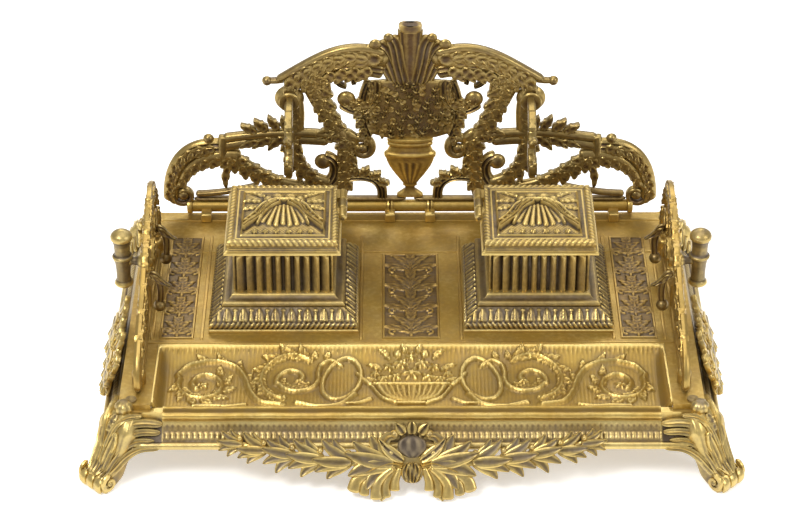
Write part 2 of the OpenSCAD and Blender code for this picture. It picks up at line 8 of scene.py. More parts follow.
import bmesh
import bpy
import numpy as np
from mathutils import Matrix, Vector


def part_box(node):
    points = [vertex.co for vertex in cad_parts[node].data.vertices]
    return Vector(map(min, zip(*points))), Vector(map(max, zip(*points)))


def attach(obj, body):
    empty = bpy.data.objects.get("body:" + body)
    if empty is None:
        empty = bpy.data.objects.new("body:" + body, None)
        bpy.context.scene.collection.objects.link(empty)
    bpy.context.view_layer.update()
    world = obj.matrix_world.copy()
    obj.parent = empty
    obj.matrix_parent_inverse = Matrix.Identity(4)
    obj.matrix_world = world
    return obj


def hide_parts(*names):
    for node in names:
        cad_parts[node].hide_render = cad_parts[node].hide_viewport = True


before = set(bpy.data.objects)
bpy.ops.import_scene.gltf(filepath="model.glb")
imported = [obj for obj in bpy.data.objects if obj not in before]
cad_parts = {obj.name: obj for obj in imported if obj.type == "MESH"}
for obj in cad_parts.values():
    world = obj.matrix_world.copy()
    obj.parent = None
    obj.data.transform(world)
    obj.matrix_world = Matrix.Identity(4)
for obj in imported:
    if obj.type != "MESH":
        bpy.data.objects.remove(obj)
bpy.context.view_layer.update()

bl_info = {
    "name": "Cast Brass Desk Stand",
    "version": (1, 0, 0),
    "blender": (4, 5, 0),
    "location": "3D View > Sidebar > Desk Stand",
    "description": "Models the cast ornament of a double inkstand on its plain frame",
    "category": "Object",
}

MM = 0.001
SIDES = ("left", "right")
KNUCKLE = 8.6


def box_mm(node):
    """Lowest and highest corner of a frame node, in millimetres."""
    low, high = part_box(node)
    return np.array(low) / MM, np.array(high) / MM


def linear(red, green, blue):
    """A colour given as 0-255 display values, as the renderer wants it."""
    return tuple((c / 255) ** 2.2 for c in (red, green, blue))


def toward(a, b, share):
    """The colour that is a share of the way from a to b."""
    return tuple((1 - share) * p + share * q for p, q in zip(a, b))


# ---------------------------------------------------------------- settings


def colour_setting(name, description, value):
    return bpy.props.FloatVectorProperty(
        name=name, description=description, subtype="COLOR", min=0, max=1, default=linear(*value))


class DeskStandFinish(bpy.types.PropertyGroup):
    """Colours of the brass, from its recesses, dark with dirt and painted shade, to its highest edges, bright
    with rubbing and a painted highlight
    """

    # hollow colour: old lacquer and dirt, together with painted shade where the hollows fall in shadow
    hollow_dirt_and_shade: colour_setting("Recess", "Old lacquer and dirt in the hollows", (64, 52, 33))
    old_gold: colour_setting("Old gold", "Brass of the base", (126, 112, 78))
    bright: colour_setting("Bright brass", "Brass of the deck and the pen tray", (160, 134, 66))
    pale: colour_setting("Lid brass", "Greyer brass of the lids", (164, 143, 86))
    well: colour_setting("Well brass", "Grey brown brass of the wells", (130, 114, 78))
    brown: colour_setting("Brown brass", "Brown brass of the gallery", (84, 64, 38))
    # edge colour: metal bared by rubbing, together with a painted highlight on the highest edges
    rubbed_and_highlight: colour_setting("Rubbed edge", "Metal on the highest edges", (202, 182, 118))
    glass: colour_setting("Glass", "Tint of the ink liners", (205, 228, 214))
    # relief sets how strongly the dirt and painted shade in hollows, and the rubbing and painted highlight on
    # edges, show
    relief: bpy.props.FloatProperty(
        name="Relief", description="Strength of the wear colours", default=0.75, min=0, max=2)


class DeskStandShape(bpy.types.PropertyGroup):
    """Sizes of the worked ornament"""

    cell: bpy.props.FloatProperty(
        name="Cell", description="Width of one square of an embossed sheet",
        default=0.5 * MM, min=0.3 * MM, max=2 * MM, unit="LENGTH")
    tray_relief: bpy.props.FloatProperty(
        name="Tray relief", description="Height of the scrolls in the pen tray",
        default=1.7 * MM, min=0, max=3 * MM, unit="LENGTH")
    deck_relief: bpy.props.FloatProperty(
        name="Deck relief", description="Height of the leaves on the deck panels",
        default=0.9 * MM, min=0, max=2 * MM, unit="LENGTH")
    lid_relief: bpy.props.FloatProperty(
        name="Lid relief", description="Height of the fan on each lid",
        default=2.2 * MM, min=0, max=3 * MM, unit="LENGTH")


# ---------------------------------------------------------------- outlines


def bezier(a, b, c, d, n=16):
    t = np.linspace(0, 1, n + 1)[:, None]
    a, b, c, d = (np.array(p, float) for p in (a, b, c, d))
    return (1 - t) ** 3 * a + 3 * (1 - t) ** 2 * t * b + 3 * (1 - t) * t * t * c + t ** 3 * d


def coil(centre, r0, r1, a0, a1, n=36):
    """A spiral about a centre, from radius r0 at angle a0 to r1 at a1, in degrees."""
    t = np.linspace(0, 1, n + 1)
    a, r = np.radians(a0 + (a1 - a0) * t), r0 + (r1 - r0) * t
    return np.stack([centre[0] + r * np.cos(a), centre[1] + r * np.sin(a)], 1)


def route(points, per_span=8):
    """A smooth curve through a few points."""
    p = np.array(points, float)
    p = np.vstack([2 * p[0] - p[1], p, 2 * p[-1] - p[-2]])
    t = np.linspace(0, 1, per_span, endpoint=False)[:, None]
    spans = [0.5 * (2 * b + (c - a) * t + (2 * a - 5 * b + 4 * c - d) * t ** 2
                    + (3 * b - a - 3 * c + d) * t ** 3)
             for a, b, c, d in zip(p[:-3], p[1:-2], p[2:-1], p[3:])]
    return np.vstack([*spans, p[-2:-1]])


def joined(*paths):
    return np.vstack(paths)


class Track:
    """A polyline that can be asked for the place and the direction at a share of its length."""

    def __init__(self, path):
        self.path = np.asarray(path, float)
        steps = np.hypot(*np.diff(self.path, axis=0).T)
        self.length = steps.sum()
        self.run = np.concatenate([[0], np.cumsum(steps)]) / self.length
        slope = np.gradient(self.path, axis=0)
        self.slope = slope / np.linalg.norm(slope, axis=1)[:, None]

    def at(self, t):
        return np.interp(t, self.run, self.path[:, 0]), np.interp(t, self.run, self.path[:, 1])

    def heading(self, t):
        return np.interp(t, self.run, self.slope[:, 0]), np.interp(t, self.run, self.slope[:, 1])


def leaf_places(path, side, count, spread, first, last, shrink):
    """Where leaves stand off one side of a stem: the point, the angle in degrees and the size of each."""
    track = Track(path)
    for t in np.linspace(first, last, count):
        dx, dy = track.heading(t)
        yield track.at(t), math.degrees(math.atan2(dy, dx)) + side * spread, 1 - shrink * t


# ---------------------------------------------------------------- surfaces to draw on


def flat(origin, right, up):
    """A flat surface: drawings go right and up on it, and heights stand off it."""
    origin, right, up = (np.array(p, float) for p in (origin, right, up))
    off = np.cross(right, up)
    return lambda x, y, h: origin + x[:, None] * right + y[:, None] * up + h[:, None] * off


def wrapped(profile, origin, outward, along):
    """A surface that is straight along one way and follows a profile of (out, z) points the other way."""
    track = Track(profile)
    origin, outward, along = (np.array(p, float) for p in (origin, outward, along))

    def place(x, y, h):
        out, z = track.at(y / track.length)
        dx, dz = track.heading(y / track.length)
        out, z = out - dz * h, z + dx * h
        return origin + x[:, None] * along + out[:, None] * outward + z[:, None] * np.array([0, 0, 1.0])

    return place


# ---------------------------------------------------------------- mesh makers


def bent_grid(bm, across, along, place):
    """A grid whose points are moved to where place(u, v) says, in millimetres."""
    made = bmesh.ops.create_grid(bm, x_segments=across, y_segments=along, size=0.5)["verts"]
    uv = np.array([v.co for v in made])[:, :2] + 0.5
    for vert, spot in zip(made, place(uv[:, 0], uv[:, 1]) * MM):
        vert.co = spot
    return made


def taper(w0, w1):
    return lambda t: w0 + (w1 - w0) * t


def plain_rise(height):
    return lambda s, t: height + 0 * s


def fluted(height, flutes=1.5):
    """A crown with grooves that run along it."""
    return lambda s, t: height * (0.74 + 0.26 * np.cos(2 * np.pi * flutes * s))


def roped(height, turns):
    return lambda s, t: height * (0.8 + 0.2 * np.sin(2 * np.pi * turns * t + 2.2 * s))


def creased(height, veins=0):
    """A leaf's face: a sharp valley down the middle, with veins off it."""
    return lambda s, t: height * (0.3 + 0.7 * np.abs(s) ** 0.6) * (
        1 + 0.22 * np.cos(2 * np.pi * (veins * t - 0.8 * np.abs(s))) * (veins > 0))


def ribbon(u, v, rise, back, ends):
    """Section of a closed strap: the share along it, the side from -1 to 1, its rounded ends, its height."""
    t, s = v - 0.1 * np.sin(2 * np.pi * v), -np.cos(2 * np.pi * u)
    cap = np.sqrt(np.maximum(1 - np.clip(1 - np.minimum(t, 1 - t) / ends, 0, 1) ** 2, 0))
    edge = np.sqrt(np.maximum(1 - s * s, 0))
    return t, s, cap, np.where(u <= 0.5, rise(s, t) * edge ** 0.6, -back * edge ** 0.4) * cap


def strap(bm, on, path, half, rise, back=1.0, lift=None, around=12, cell=1.1, ends=0.1):
    """One closed ribbon of cast metal along a path, half(t) wide each way and rise(s, t) high in front."""
    track = Track(path)
    along = max(10, int(track.length / cell))

    def place(u, v):
        t, s, cap, high = ribbon(u, v, rise, back, ends)
        x, y = track.at(t)
        dx, dy = track.heading(t)
        width = half(t) * cap
        if lift is not None:
            high = high + lift(t)
        return on(x - dy * s * width, y + dx * s * width, high)

    bent_grid(bm, around, along, place)


def leaf(bm, on, at, angle, length, width, height=1.2, bend=0.0, lobes=0, curl=0.0, lift=0.0, back=0.6,
         around=12, cell=1.1, blunt=1.0):
    """One cast leaf from a point, along an angle in degrees, bent to one side and curled at its tip."""
    a = math.radians(angle)
    ahead, aside = np.array([math.cos(a), math.sin(a)]), np.array([-math.sin(a), math.cos(a)])
    at = np.array(at, float)
    path = route([at, at + 0.35 * length * ahead + 0.35 * bend * length * aside,
                  at + 0.7 * length * ahead + 0.38 * bend * length * aside, at + length * ahead])

    def half(t):
        outline = np.sin(np.pi * np.clip(0.06 + 0.94 * t, 0, 1) ** (0.72 + 0.3 * (1 - blunt))) ** blunt
        notch = 0.26 * (0.5 + 0.5 * np.cos(2 * np.pi * lobes * t)) if lobes else 0
        return width / 2 * outline * (1 - notch)

    strap(bm, on, path, half, creased(height, lobes or 0), back, lambda t: lift + curl * t ** 2,
          around, cell, ends=0.04)


def knob(bm, on, at, radius, height, petals=0, around=16, rings=6, notch=0.2, base=0.0):
    """A round boss, plain or cut into petals."""
    def place(u, v):
        a, r = 2 * np.pi * u, np.minimum(2 * v, 2 - 2 * v)
        cut = 1 - (notch * (0.5 - 0.5 * np.cos(petals * a)) * r if petals else 0)
        high = np.where(v <= 0.5, 0, np.sqrt(np.maximum(1 - r * r, 0)) * height)
        if petals:
            high = np.where(v > 0.5, high * (0.75 + 0.25 * np.cos(petals * a)) + 0.25 * height * (r < 0.3),
                            high)
        return on(at[0] + radius * r * cut * np.cos(a), at[1] + radius * r * cut * np.sin(a), base + high)

    bent_grid(bm, around, 2 * rings, place)


def leafage(bm, on, path, side, count, length, width, spread=40, first=0.05, last=0.95, shrink=0.3, **cast):
    """Leaves off one side of a stem, each leaning towards the stem's end and overlapping the next."""
    for at, angle, size in leaf_places(path, side, count, spread, first, last, shrink):
        leaf(bm, on, at, angle, length * size, width * size, bend=-0.14 * side, **cast)


def limb(bm, points, half, rise, facing, back=1.0, around=14, cell=0.9, ends=0.12):
    """A strap along a curve in space, whose face looks the given way."""
    path = route(points, 6)
    steps = np.linalg.norm(np.diff(path, axis=0), axis=1)
    run = np.concatenate([[0], np.cumsum(steps)]) / steps.sum()
    ahead = np.gradient(path, axis=0)
    aside = np.cross(ahead, np.array(facing, float))
    aside /= np.linalg.norm(aside, axis=1)[:, None]
    off = np.cross(aside, ahead)
    off /= np.linalg.norm(off, axis=1)[:, None]

    def spread(t, table):
        return np.stack([np.interp(t, run, table[:, i]) for i in range(3)], 1)

    def place(u, v):
        t, s, cap, high = ribbon(u, v, rise, back, ends)
        across = (s * half(t) * cap)[:, None] * spread(t, aside)
        return spread(t, path) + across + high[:, None] * spread(t, off)

    bent_grid(bm, around, max(10, int(steps.sum() / cell)), place)


def between(table, k):
    """The two columns of a table, read off between its rows."""
    return tuple(np.interp(k, range(len(table)), table[:, column]) for column in (0, 1))


def turned(bm, centre, axis, profile, around=40, flutes=0, depth=0.0):
    """A piece off a lathe: the profile is (radius, distance along the axis) points."""
    track = dense(profile, 1.0)
    centre, axis = np.array(centre, float), np.array(axis, float)
    side = np.cross(axis, [0, 0, 1.0] if abs(axis[2]) < 0.9 else [1.0, 0, 0])
    side /= np.linalg.norm(side)
    other = np.cross(axis, side)

    def place(u, v):
        r, z = between(track, v * (len(track) - 1))
        a = 2 * np.pi * u
        r = r * (1 + depth * np.cos(flutes * a))
        about = (r * np.cos(a))[:, None] * side + (r * np.sin(a))[:, None] * other
        return centre + z[:, None] * axis + about

    bent_grid(bm, around, len(track) - 1, place)


def block(bm, size, middle):
    """A plain rectangular block."""
    made = bmesh.ops.create_cube(bm, size=1)["verts"]
    bmesh.ops.scale(bm, vec=Vector(size) * MM, verts=made)
    bmesh.ops.translate(bm, vec=Vector(middle) * MM, verts=made)
    return made


def bar(bm, section, start, end, at, cells):
    """A closed section of (a, b) points drawn from start to end; at(q, a, b) gives the place."""
    loop = np.vstack([section, section[:1]])
    count = len(loop) - 1

    def place(u, v):
        return at(start + (end - start) * v, *between(loop, u * count))

    bent_grid(bm, count, cells, place)


def dense(points, cell=0.6):
    """The same outline with points no further apart than a cell."""
    p = np.array(points, float)
    out = []
    for a, b in zip(p[:-1], p[1:]):
        n = max(1, int(np.linalg.norm(b - a) / cell))
        out.append(a + (b - a) * np.linspace(0, 1, n, endpoint=False)[:, None])
    return np.vstack([*out, p[-1:]])


def arc(centre, r, a0, a1, n=8):
    return coil(centre, r, r, a0, a1, n)


def close_holes(bm):
    rim = [e for e in bm.edges if e.is_boundary]
    if rim:
        bmesh.ops.holes_fill(bm, edges=rim, sides=0)


def slab(bm, x0, x1, y0, y1, cell, top, floor):
    """An embossed sheet: top(x, y) gives its height, and it is closed by a flat face at floor."""
    across, along = max(4, int((x1 - x0) / cell)), max(4, int((y1 - y0) / cell))

    def place(u, v):
        x, y = x0 + (x1 - x0) * u, y0 + (y1 - y0) * v
        return np.stack([x, y, top(x, y)], 1)

    made = bent_grid(bm, across, along, place)
    inside = set(made)
    rim = [e for e in bm.edges if e.is_boundary and e.verts[0] in inside]
    grown = bmesh.ops.extrude_edge_only(bm, edges=rim)["geom"]
    for vert in (g for g in grown if isinstance(g, bmesh.types.BMVert)):
        vert.co.z = floor * MM
    close_holes(bm)


def square_band(bm, centre, section, pattern, cell, clamp=None):
    """A square block, mitred at its corners, whose four sides share a section of (half width, z) points.
    pattern(q, share, k) lifts the face at distance q along a side, for section point k; share is -1 to 1."""
    section = np.array(section, float)
    slope = np.gradient(section, axis=0)
    slope /= np.maximum(np.linalg.norm(slope, axis=1), 1e-9)[:, None]
    steps = len(section) - 1
    per_side = int(2 * section[:, 0].max() / cell)

    def place(u, v):
        k = v * steps
        (r, z), (dr, dz) = between(section, k), between(slope, k)
        side = np.minimum(np.floor(u * 4 + 1e-6), 3)
        q = 2 * (u * 4 - side) - 1
        lift = pattern(q * r, q, k)
        r, z = r + dz * lift, z - dr * lift
        x, y = r, q * r
        turn = side * np.pi / 2
        x, y = x * np.cos(turn) - y * np.sin(turn), x * np.sin(turn) + y * np.cos(turn)
        if clamp is not None:
            x, y = clamp(x, y)
        return np.stack([centre[0] + x, centre[1] + y, z], 1)

    bent_grid(bm, 4 * per_side, steps, place)


# ---------------------------------------------------------------- relief


class Relief:
    """Heights over a set of points, built up stroke by stroke; the highest stroke wins."""

    def __init__(self, x, y):
        self.x, self.y, self.high = x, y, np.zeros_like(x)

    def _near(self, low, high):
        return np.nonzero((self.x > low[0]) & (self.x < high[0]) & (self.y > low[1]) & (self.y < high[1]))[0]

    def _raise(self, near, value):
        self.high[near] = np.maximum(self.high[near], value)

    def stroke(self, path, w0, w1, height, flutes=0.0):
        """A rounded stroke along a path, half w0 to w1 wide, with grooves along it when fluted."""
        path = np.asarray(path, float)
        wide = max(w0, w1)
        near = self._near(path.min(0) - wide, path.max(0) + wide)
        x, y = self.x[near], self.y[near]
        best, where, side = np.full(len(x), 1e9), np.zeros(len(x)), np.ones(len(x))
        for i, (a, b) in enumerate(zip(path[:-1], path[1:])):
            d = b - a
            k = np.clip(((x - a[0]) * d[0] + (y - a[1]) * d[1]) / max(d @ d, 1e-9), 0, 1)
            ex, ey = x - a[0] - k * d[0], y - a[1] - k * d[1]
            gap = np.hypot(ex, ey)
            closer = gap < best
            best[closer], where[closer] = gap[closer], ((i + k) / (len(path) - 1))[closer]
            side[closer] = np.sign(d[0] * ey - d[1] * ex)[closer]
        s = np.clip(best / (w0 + (w1 - w0) * where), 0, 1)
        value = height * np.sqrt(1 - s * s) ** 0.8
        if flutes:
            value *= 0.72 + 0.28 * np.cos(2 * np.pi * flutes * s * side)
        self._raise(near, value)

    def leaf(self, at, angle, length, width, height, bend=0.0, lobes=3):
        """A veined leaf; bend is how far its middle bows to its left, as a share of its length."""
        a = math.radians(angle)
        reach = length * 1.1 + width
        near = self._near((at[0] - reach, at[1] - reach), (at[0] + reach, at[1] + reach))
        x, y = self.x[near] - at[0], self.y[near] - at[1]
        along = (x * math.cos(a) + y * math.sin(a)) / length
        t = np.clip(along, 0, 1)
        across = -x * math.sin(a) + y * math.cos(a) - bend * length * 4 * t * (1 - t)
        wide = width / 2 * np.sin(np.pi * (0.05 + 0.95 * t) ** 0.75)
        if lobes:
            wide = wide * (0.78 + 0.22 * np.abs(np.cos(np.pi * lobes * t)))
        s = across / np.maximum(wide, 1e-3)
        inside = (along >= 0) & (along <= 1) & (np.abs(s) < 1)
        vein = 1 + 0.2 * np.cos(2 * np.pi * (lobes * t - 0.7 * np.abs(s))) if lobes else 1
        value = height * np.sqrt(np.clip(1 - s * s, 0, 1)) ** 0.7 * (0.5 + 0.5 * np.abs(s) ** 0.6) * vein
        self._raise(near, np.where(inside, value, 0))

    def dome(self, at, radius, height, petals=0, turn=0.0):
        """A round boss, or a flower when it has petals."""
        near = self._near((at[0] - radius, at[1] - radius), (at[0] + radius, at[1] + radius))
        x, y = self.x[near] - at[0], self.y[near] - at[1]
        r = np.hypot(x, y) / radius
        a = np.arctan2(y, x) + math.radians(turn)
        if petals:
            r = r / (0.82 + 0.18 * np.cos(petals * a))
        value = height * np.sqrt(np.clip(1 - r * r, 0, 1))
        if petals:
            value *= 0.7 + 0.3 * np.cos(petals * a) * (r > 0.35) + 0.3 * (r < 0.3)
        self._raise(near, value)

    def foliage(self, path, side, count, length, width, height, spread=50, first=0.05, last=0.95, shrink=0.5):
        """Leaves off one side of a stem, leaning towards its end."""
        for at, angle, size in leaf_places(path, side, count, spread, first, last, shrink):
            self.leaf(at, angle, length * size, width * size, height, bend=-0.12 * side)


# ---------------------------------------------------------------- shading


class Amount:
    """A number that varies over a surface; arithmetic on it adds Math nodes."""

    def __init__(self, finish, socket):
        self.finish, self.socket = finish, socket

    def _math(self, kind, a, b):
        return self.finish.node("ShaderNodeMath", {"operation": kind}, {0: a, 1: b})

    def __add__(self, other): return self._math("ADD", self, other)
    def __radd__(self, other): return self._math("ADD", other, self)
    def __sub__(self, other): return self._math("SUBTRACT", self, other)
    def __rsub__(self, other): return self._math("SUBTRACT", other, self)
    def __mul__(self, other): return self._math("MULTIPLY", self, other)
    def __rmul__(self, other): return self._math("MULTIPLY", other, self)
    def most(self, other): return self._math("MAXIMUM", self, other)
    def least(self, other): return self._math("MINIMUM", self, other)


class Finish:
    """One material and the nodes that are added to it."""

    def __init__(self, name):
        self.material = bpy.data.materials.new(name)
        self.material.use_nodes = True
        self.tree = self.material.node_tree
        self.tree.nodes.clear()
        self.output = self.tree.nodes.new("ShaderNodeOutputMaterial")

    def node(self, kind, settings=None, sockets=None, out=0):
        made = self.tree.nodes.new(kind)
        for key, value in (settings or {}).items():
            if key == "stops":
                ramp = made.color_ramp
                while len(ramp.elements) < len(value):
                    ramp.elements.new(0.5)
                for element, (spot, colour) in zip(ramp.elements, value):
                    element.position, element.color = spot, (*colour, 1)
            else:
                setattr(made, key, value)
        for key, value in (sockets or {}).items():
            if isinstance(value, Amount):
                self.tree.links.new(value.socket, made.inputs[key])
            elif isinstance(value, bpy.types.NodeSocket):
                self.tree.links.new(value, made.inputs[key])
            else:
                made.inputs[key].default_value = value
        return Amount(self, made.outputs[out])

    def noise(self, place, scale, detail=3.0, rough=0.55):
        return self.node("ShaderNodeTexNoise", {"noise_dimensions": "3D"},
                         {"Vector": place, "Scale": scale, "Detail": detail, "Roughness": rough})

    def mix(self, share, a, b, blend="MIX"):
        return self.node("ShaderNodeMix", {"data_type": "RGBA", "blend_type": blend},
                         {0: share, 6: a, 7: b}, out=2)


    def surface(self, sockets):
        """Ends the finish with its shader, and hands back the material."""
        shader = self.node("ShaderNodeBsdfPrincipled", {}, sockets)
        self.tree.links.new(shader.socket, self.output.inputs["Surface"])
        return self.material


_finishes = {}


def brass(name, body, rubbed_and_highlight, hollow_dirt_and_shade, polish, relief_wear_and_shade=True, tarnish=0.4):
    """Cast brass: dirt and painted shade in its hollows, rubbing and a painted highlight on its edges, cloudy
    tarnish and fine scratches.
    """
    key = (name, relief_wear_and_shade)
    if key in _finishes:
        return _finishes[key]
    f = Finish(name if relief_wear_and_shade else name + "_plain")
    place = f.node("ShaderNodeTexCoord", out=3)
    cloud = f.noise(place, 45.0, 4.0)
    speck = f.noise(place, 420.0, 3.0)
    grain = f.noise(place, 1500.0, 2.0)
    if relief_wear_and_shade:
        # the relief map that paints shade and dirt into hollows, and a highlight and rubbing onto edges
        height = f.node("ShaderNodeAttribute", {"attribute_name": "wear"}, out=2)
    else:
        height = 0.25 * speck + 0.42
    shade = height + 0.45 * (cloud - 0.5) + 0.4 * (speck - 0.5)
    # hollows take the dark colour, dirt with painted shade; high edges take the light colour, rubbing with a
    # painted highlight
    colour = f.node("ShaderNodeValToRGB", {"stops": [
        (0.12, hollow_dirt_and_shade), (0.38, toward(hollow_dirt_and_shade, body, 0.5)), (0.55, body),
        (0.74, toward(body, rubbed_and_highlight, 0.45)), (0.97, rubbed_and_highlight)]}, {0: shade})
    warm = f.mix(0.8 * f.noise(place, 60.0, 2.0), colour, (*linear(240, 214, 160), 1), "MULTIPLY")
    patches = ((f.noise(place, 75.0, 5.0, 0.65) - 0.45) * 5.0).least(1.0).most(0.0)
    dull = f.mix(tarnish * patches * (1.15 - shade).least(1.0), warm, (*linear(118, 106, 92), 1))
    rough = (polish + 0.34) - 0.2 * shade.least(1.0).most(0.0) + 0.2 * (speck - 0.5)
    across = f.node("ShaderNodeMapping", {}, {"Vector": place, "Scale": (1.0, 6.0, 6.0)})
    lines = f.noise(across, 600.0, 2.0)
    bump = f.node("ShaderNodeBump", {}, {
        "Strength": 0.35, "Distance": 0.3 * MM, "Height": 0.6 * speck + 0.3 * grain + 0.3 * lines})
    _finishes[key] = f.surface({
        "Base Color": dull, "Metallic": (0.42 + 0.4 * shade).least(0.9), "Roughness": rough, "Normal": bump})
    return _finishes[key]


def metal(slot_name, relief_wear_and_shade=True):
    """The finish of one of the record's brass slots."""
    tone = bpy.context.scene.desk_finish
    bodies = {"old_gold_brass": tone.old_gold, "bright_brass": tone.bright, "lid_brass": tone.pale,
              "well_brass": tone.well, "bronze_brown_brass": tone.brown, "fasteners": tone.well}
    polish = {"bright_brass": 0.16, "bronze_brown_brass": 0.16, "fasteners": 0.35}.get(slot_name, 0.17)
    tarnish = {"bright_brass": 0.25, "old_gold_brass": 0.85, "well_brass": 0.55}.get(slot_name, 0.4)
    # the edge colour holds rubbing and a painted highlight, the hollow colour dirt and painted shade
    rubbed_and_highlight, hollow_dirt_and_shade = tuple(tone.rubbed_and_highlight), tuple(tone.hollow_dirt_and_shade)
    # the deck and tray get a lighter painted shade and dirt in their hollows
    if slot_name == "bright_brass":
        hollow_dirt_and_shade = toward(tone.hollow_dirt_and_shade, tone.bright, 0.6)
    if slot_name == "bronze_brown_brass":
        rubbed_and_highlight = toward(tone.rubbed_and_highlight, tone.brown, 0.5)
    return brass(slot_name, tuple(bodies[slot_name]), rubbed_and_highlight, hollow_dirt_and_shade, polish, relief_wear_and_shade, tarnish=tarnish)


def shaded(name, body, rubbed_and_highlight, hollow_dirt_and_shade, polish=0.17):
    """A brass finish of its own for one piece, from 0-255 display colours: its body, its edges with rubbing
    and a painted highlight, and its hollows with dirt and painted shade.
    """
    return brass(name, linear(*body), linear(*rubbed_and_highlight), linear(*hollow_dirt_and_shade), polish)


def glass():
    """The clear glass of the ink liners."""
    if "ink_glass" in _finishes:
        return _finishes["ink_glass"]
    f = Finish("ink_glass")
    place = f.node("ShaderNodeTexCoord", out=3)
    smear = f.noise(place, 120.0, 3.0)
    tint = tuple(bpy.context.scene.desk_finish.glass)
    colour = f.mix(0.3 * smear, (*tint, 1), (*linear(150, 180, 160), 1))
    _finishes["ink_glass"] = f.surface({
        "Base Color": colour, "Roughness": 0.05 + 0.12 * smear, "IOR": 1.5, "Transmission Weight": 0.9})
    return _finishes["ink_glass"]


# ---------------------------------------------------------------- finishing a piece


def wear_and_shade_map(mesh, passes=14, depth=0.22):
    """Marks each point by how proud it stands of the metal round it: 0 in a hollow, 1 on an edge. The brass
    colours turn this into dirt and painted shade in the hollows, and rubbing and a painted highlight on the
    edges.
    """
    count = len(mesh.vertices)
    spots, normals = np.empty(count * 3), np.empty(count * 3)
    mesh.vertices.foreach_get("co", spots)
    mesh.vertices.foreach_get("normal", normals)
    ends = np.empty(len(mesh.edges) * 2, int)
    mesh.edges.foreach_get("vertices", ends)
    a, b = ends[0::2], ends[1::2]
    spots, normals = spots.reshape(-1, 3) / MM, normals.reshape(-1, 3)
    near = np.maximum(np.bincount(a, minlength=count) + np.bincount(b, minlength=count), 1)
    soft = spots.copy()
    for _ in range(passes):
        soft = np.stack([(np.bincount(a, soft[b, i], count) + np.bincount(b, soft[a, i], count)) / near
                         for i in range(3)], 1)
    proud = ((spots - soft) * normals).sum(1)
    # 0 to 1: painted shade and dirt in hollows, painted highlight and rubbing on edges
    relief_wear_and_shade = 0.5 + 0.5 * np.tanh(bpy.context.scene.desk_finish.relief * proud / depth)
    mesh.attributes.new("wear", "FLOAT", "POINT").data.foreach_set("value", relief_wear_and_shade.astype(np.float32))


def finish_piece(name, bm, slot_name, nodes=(), body="stand", flip=False, sharp=40, passes=14, depth=0.22,
                 finish=None):
    """Turns a bmesh into a finished piece on its body, in place of its plain nodes."""
    if flip:
        bmesh.ops.scale(bm, vec=(-1, 1, 1), verts=bm.verts)
    bmesh.ops.remove_doubles(bm, verts=bm.verts, dist=1e-6)
    close_holes(bm)
    bmesh.ops.dissolve_degenerate(bm, dist=1e-7, edges=bm.edges)
    bmesh.ops.recalc_face_normals(bm, faces=bm.faces)
    if not bm.faces:
        raise RuntimeError(f"{name} came out empty")
    mesh = bpy.data.meshes.new(name)
    bm.to_mesh(mesh)
    bm.free()
    mesh.shade_smooth()
    mesh.set_sharp_from_angle(angle=math.radians(sharp))
    wear_and_shade_map(mesh, passes, depth)
    mesh.materials.append(finish or metal(slot_name))
    piece = bpy.data.objects.new(name, mesh)
    bpy.context.scene.collection.objects.link(piece)
    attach(piece, body)
    if nodes:
        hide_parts(*nodes)
    return piece


def finish_side(name, part, bm, slot_name, **cast):
    """Finishes the left or right one of a pair; both are drawn on the right."""
    node = f"{name}_{part}"
    return finish_piece(node, bm, slot_name, [node], flip=name == "left", **cast)


def mirror_across(bm):
    """Adds the left half of a piece that is the same on both sides of the middle."""
    bmesh.ops.mirror(bm, geom=[*bm.verts, *bm.edges, *bm.faces], axis="X", merge_dist=1e-7)


class DeskStandMaker:
    bl_options = {"REGISTER", "UNDO"}


# ---------------------------------------------------------------- deck


def deck_top():
    return box_mm("deck_plate")[1][2]


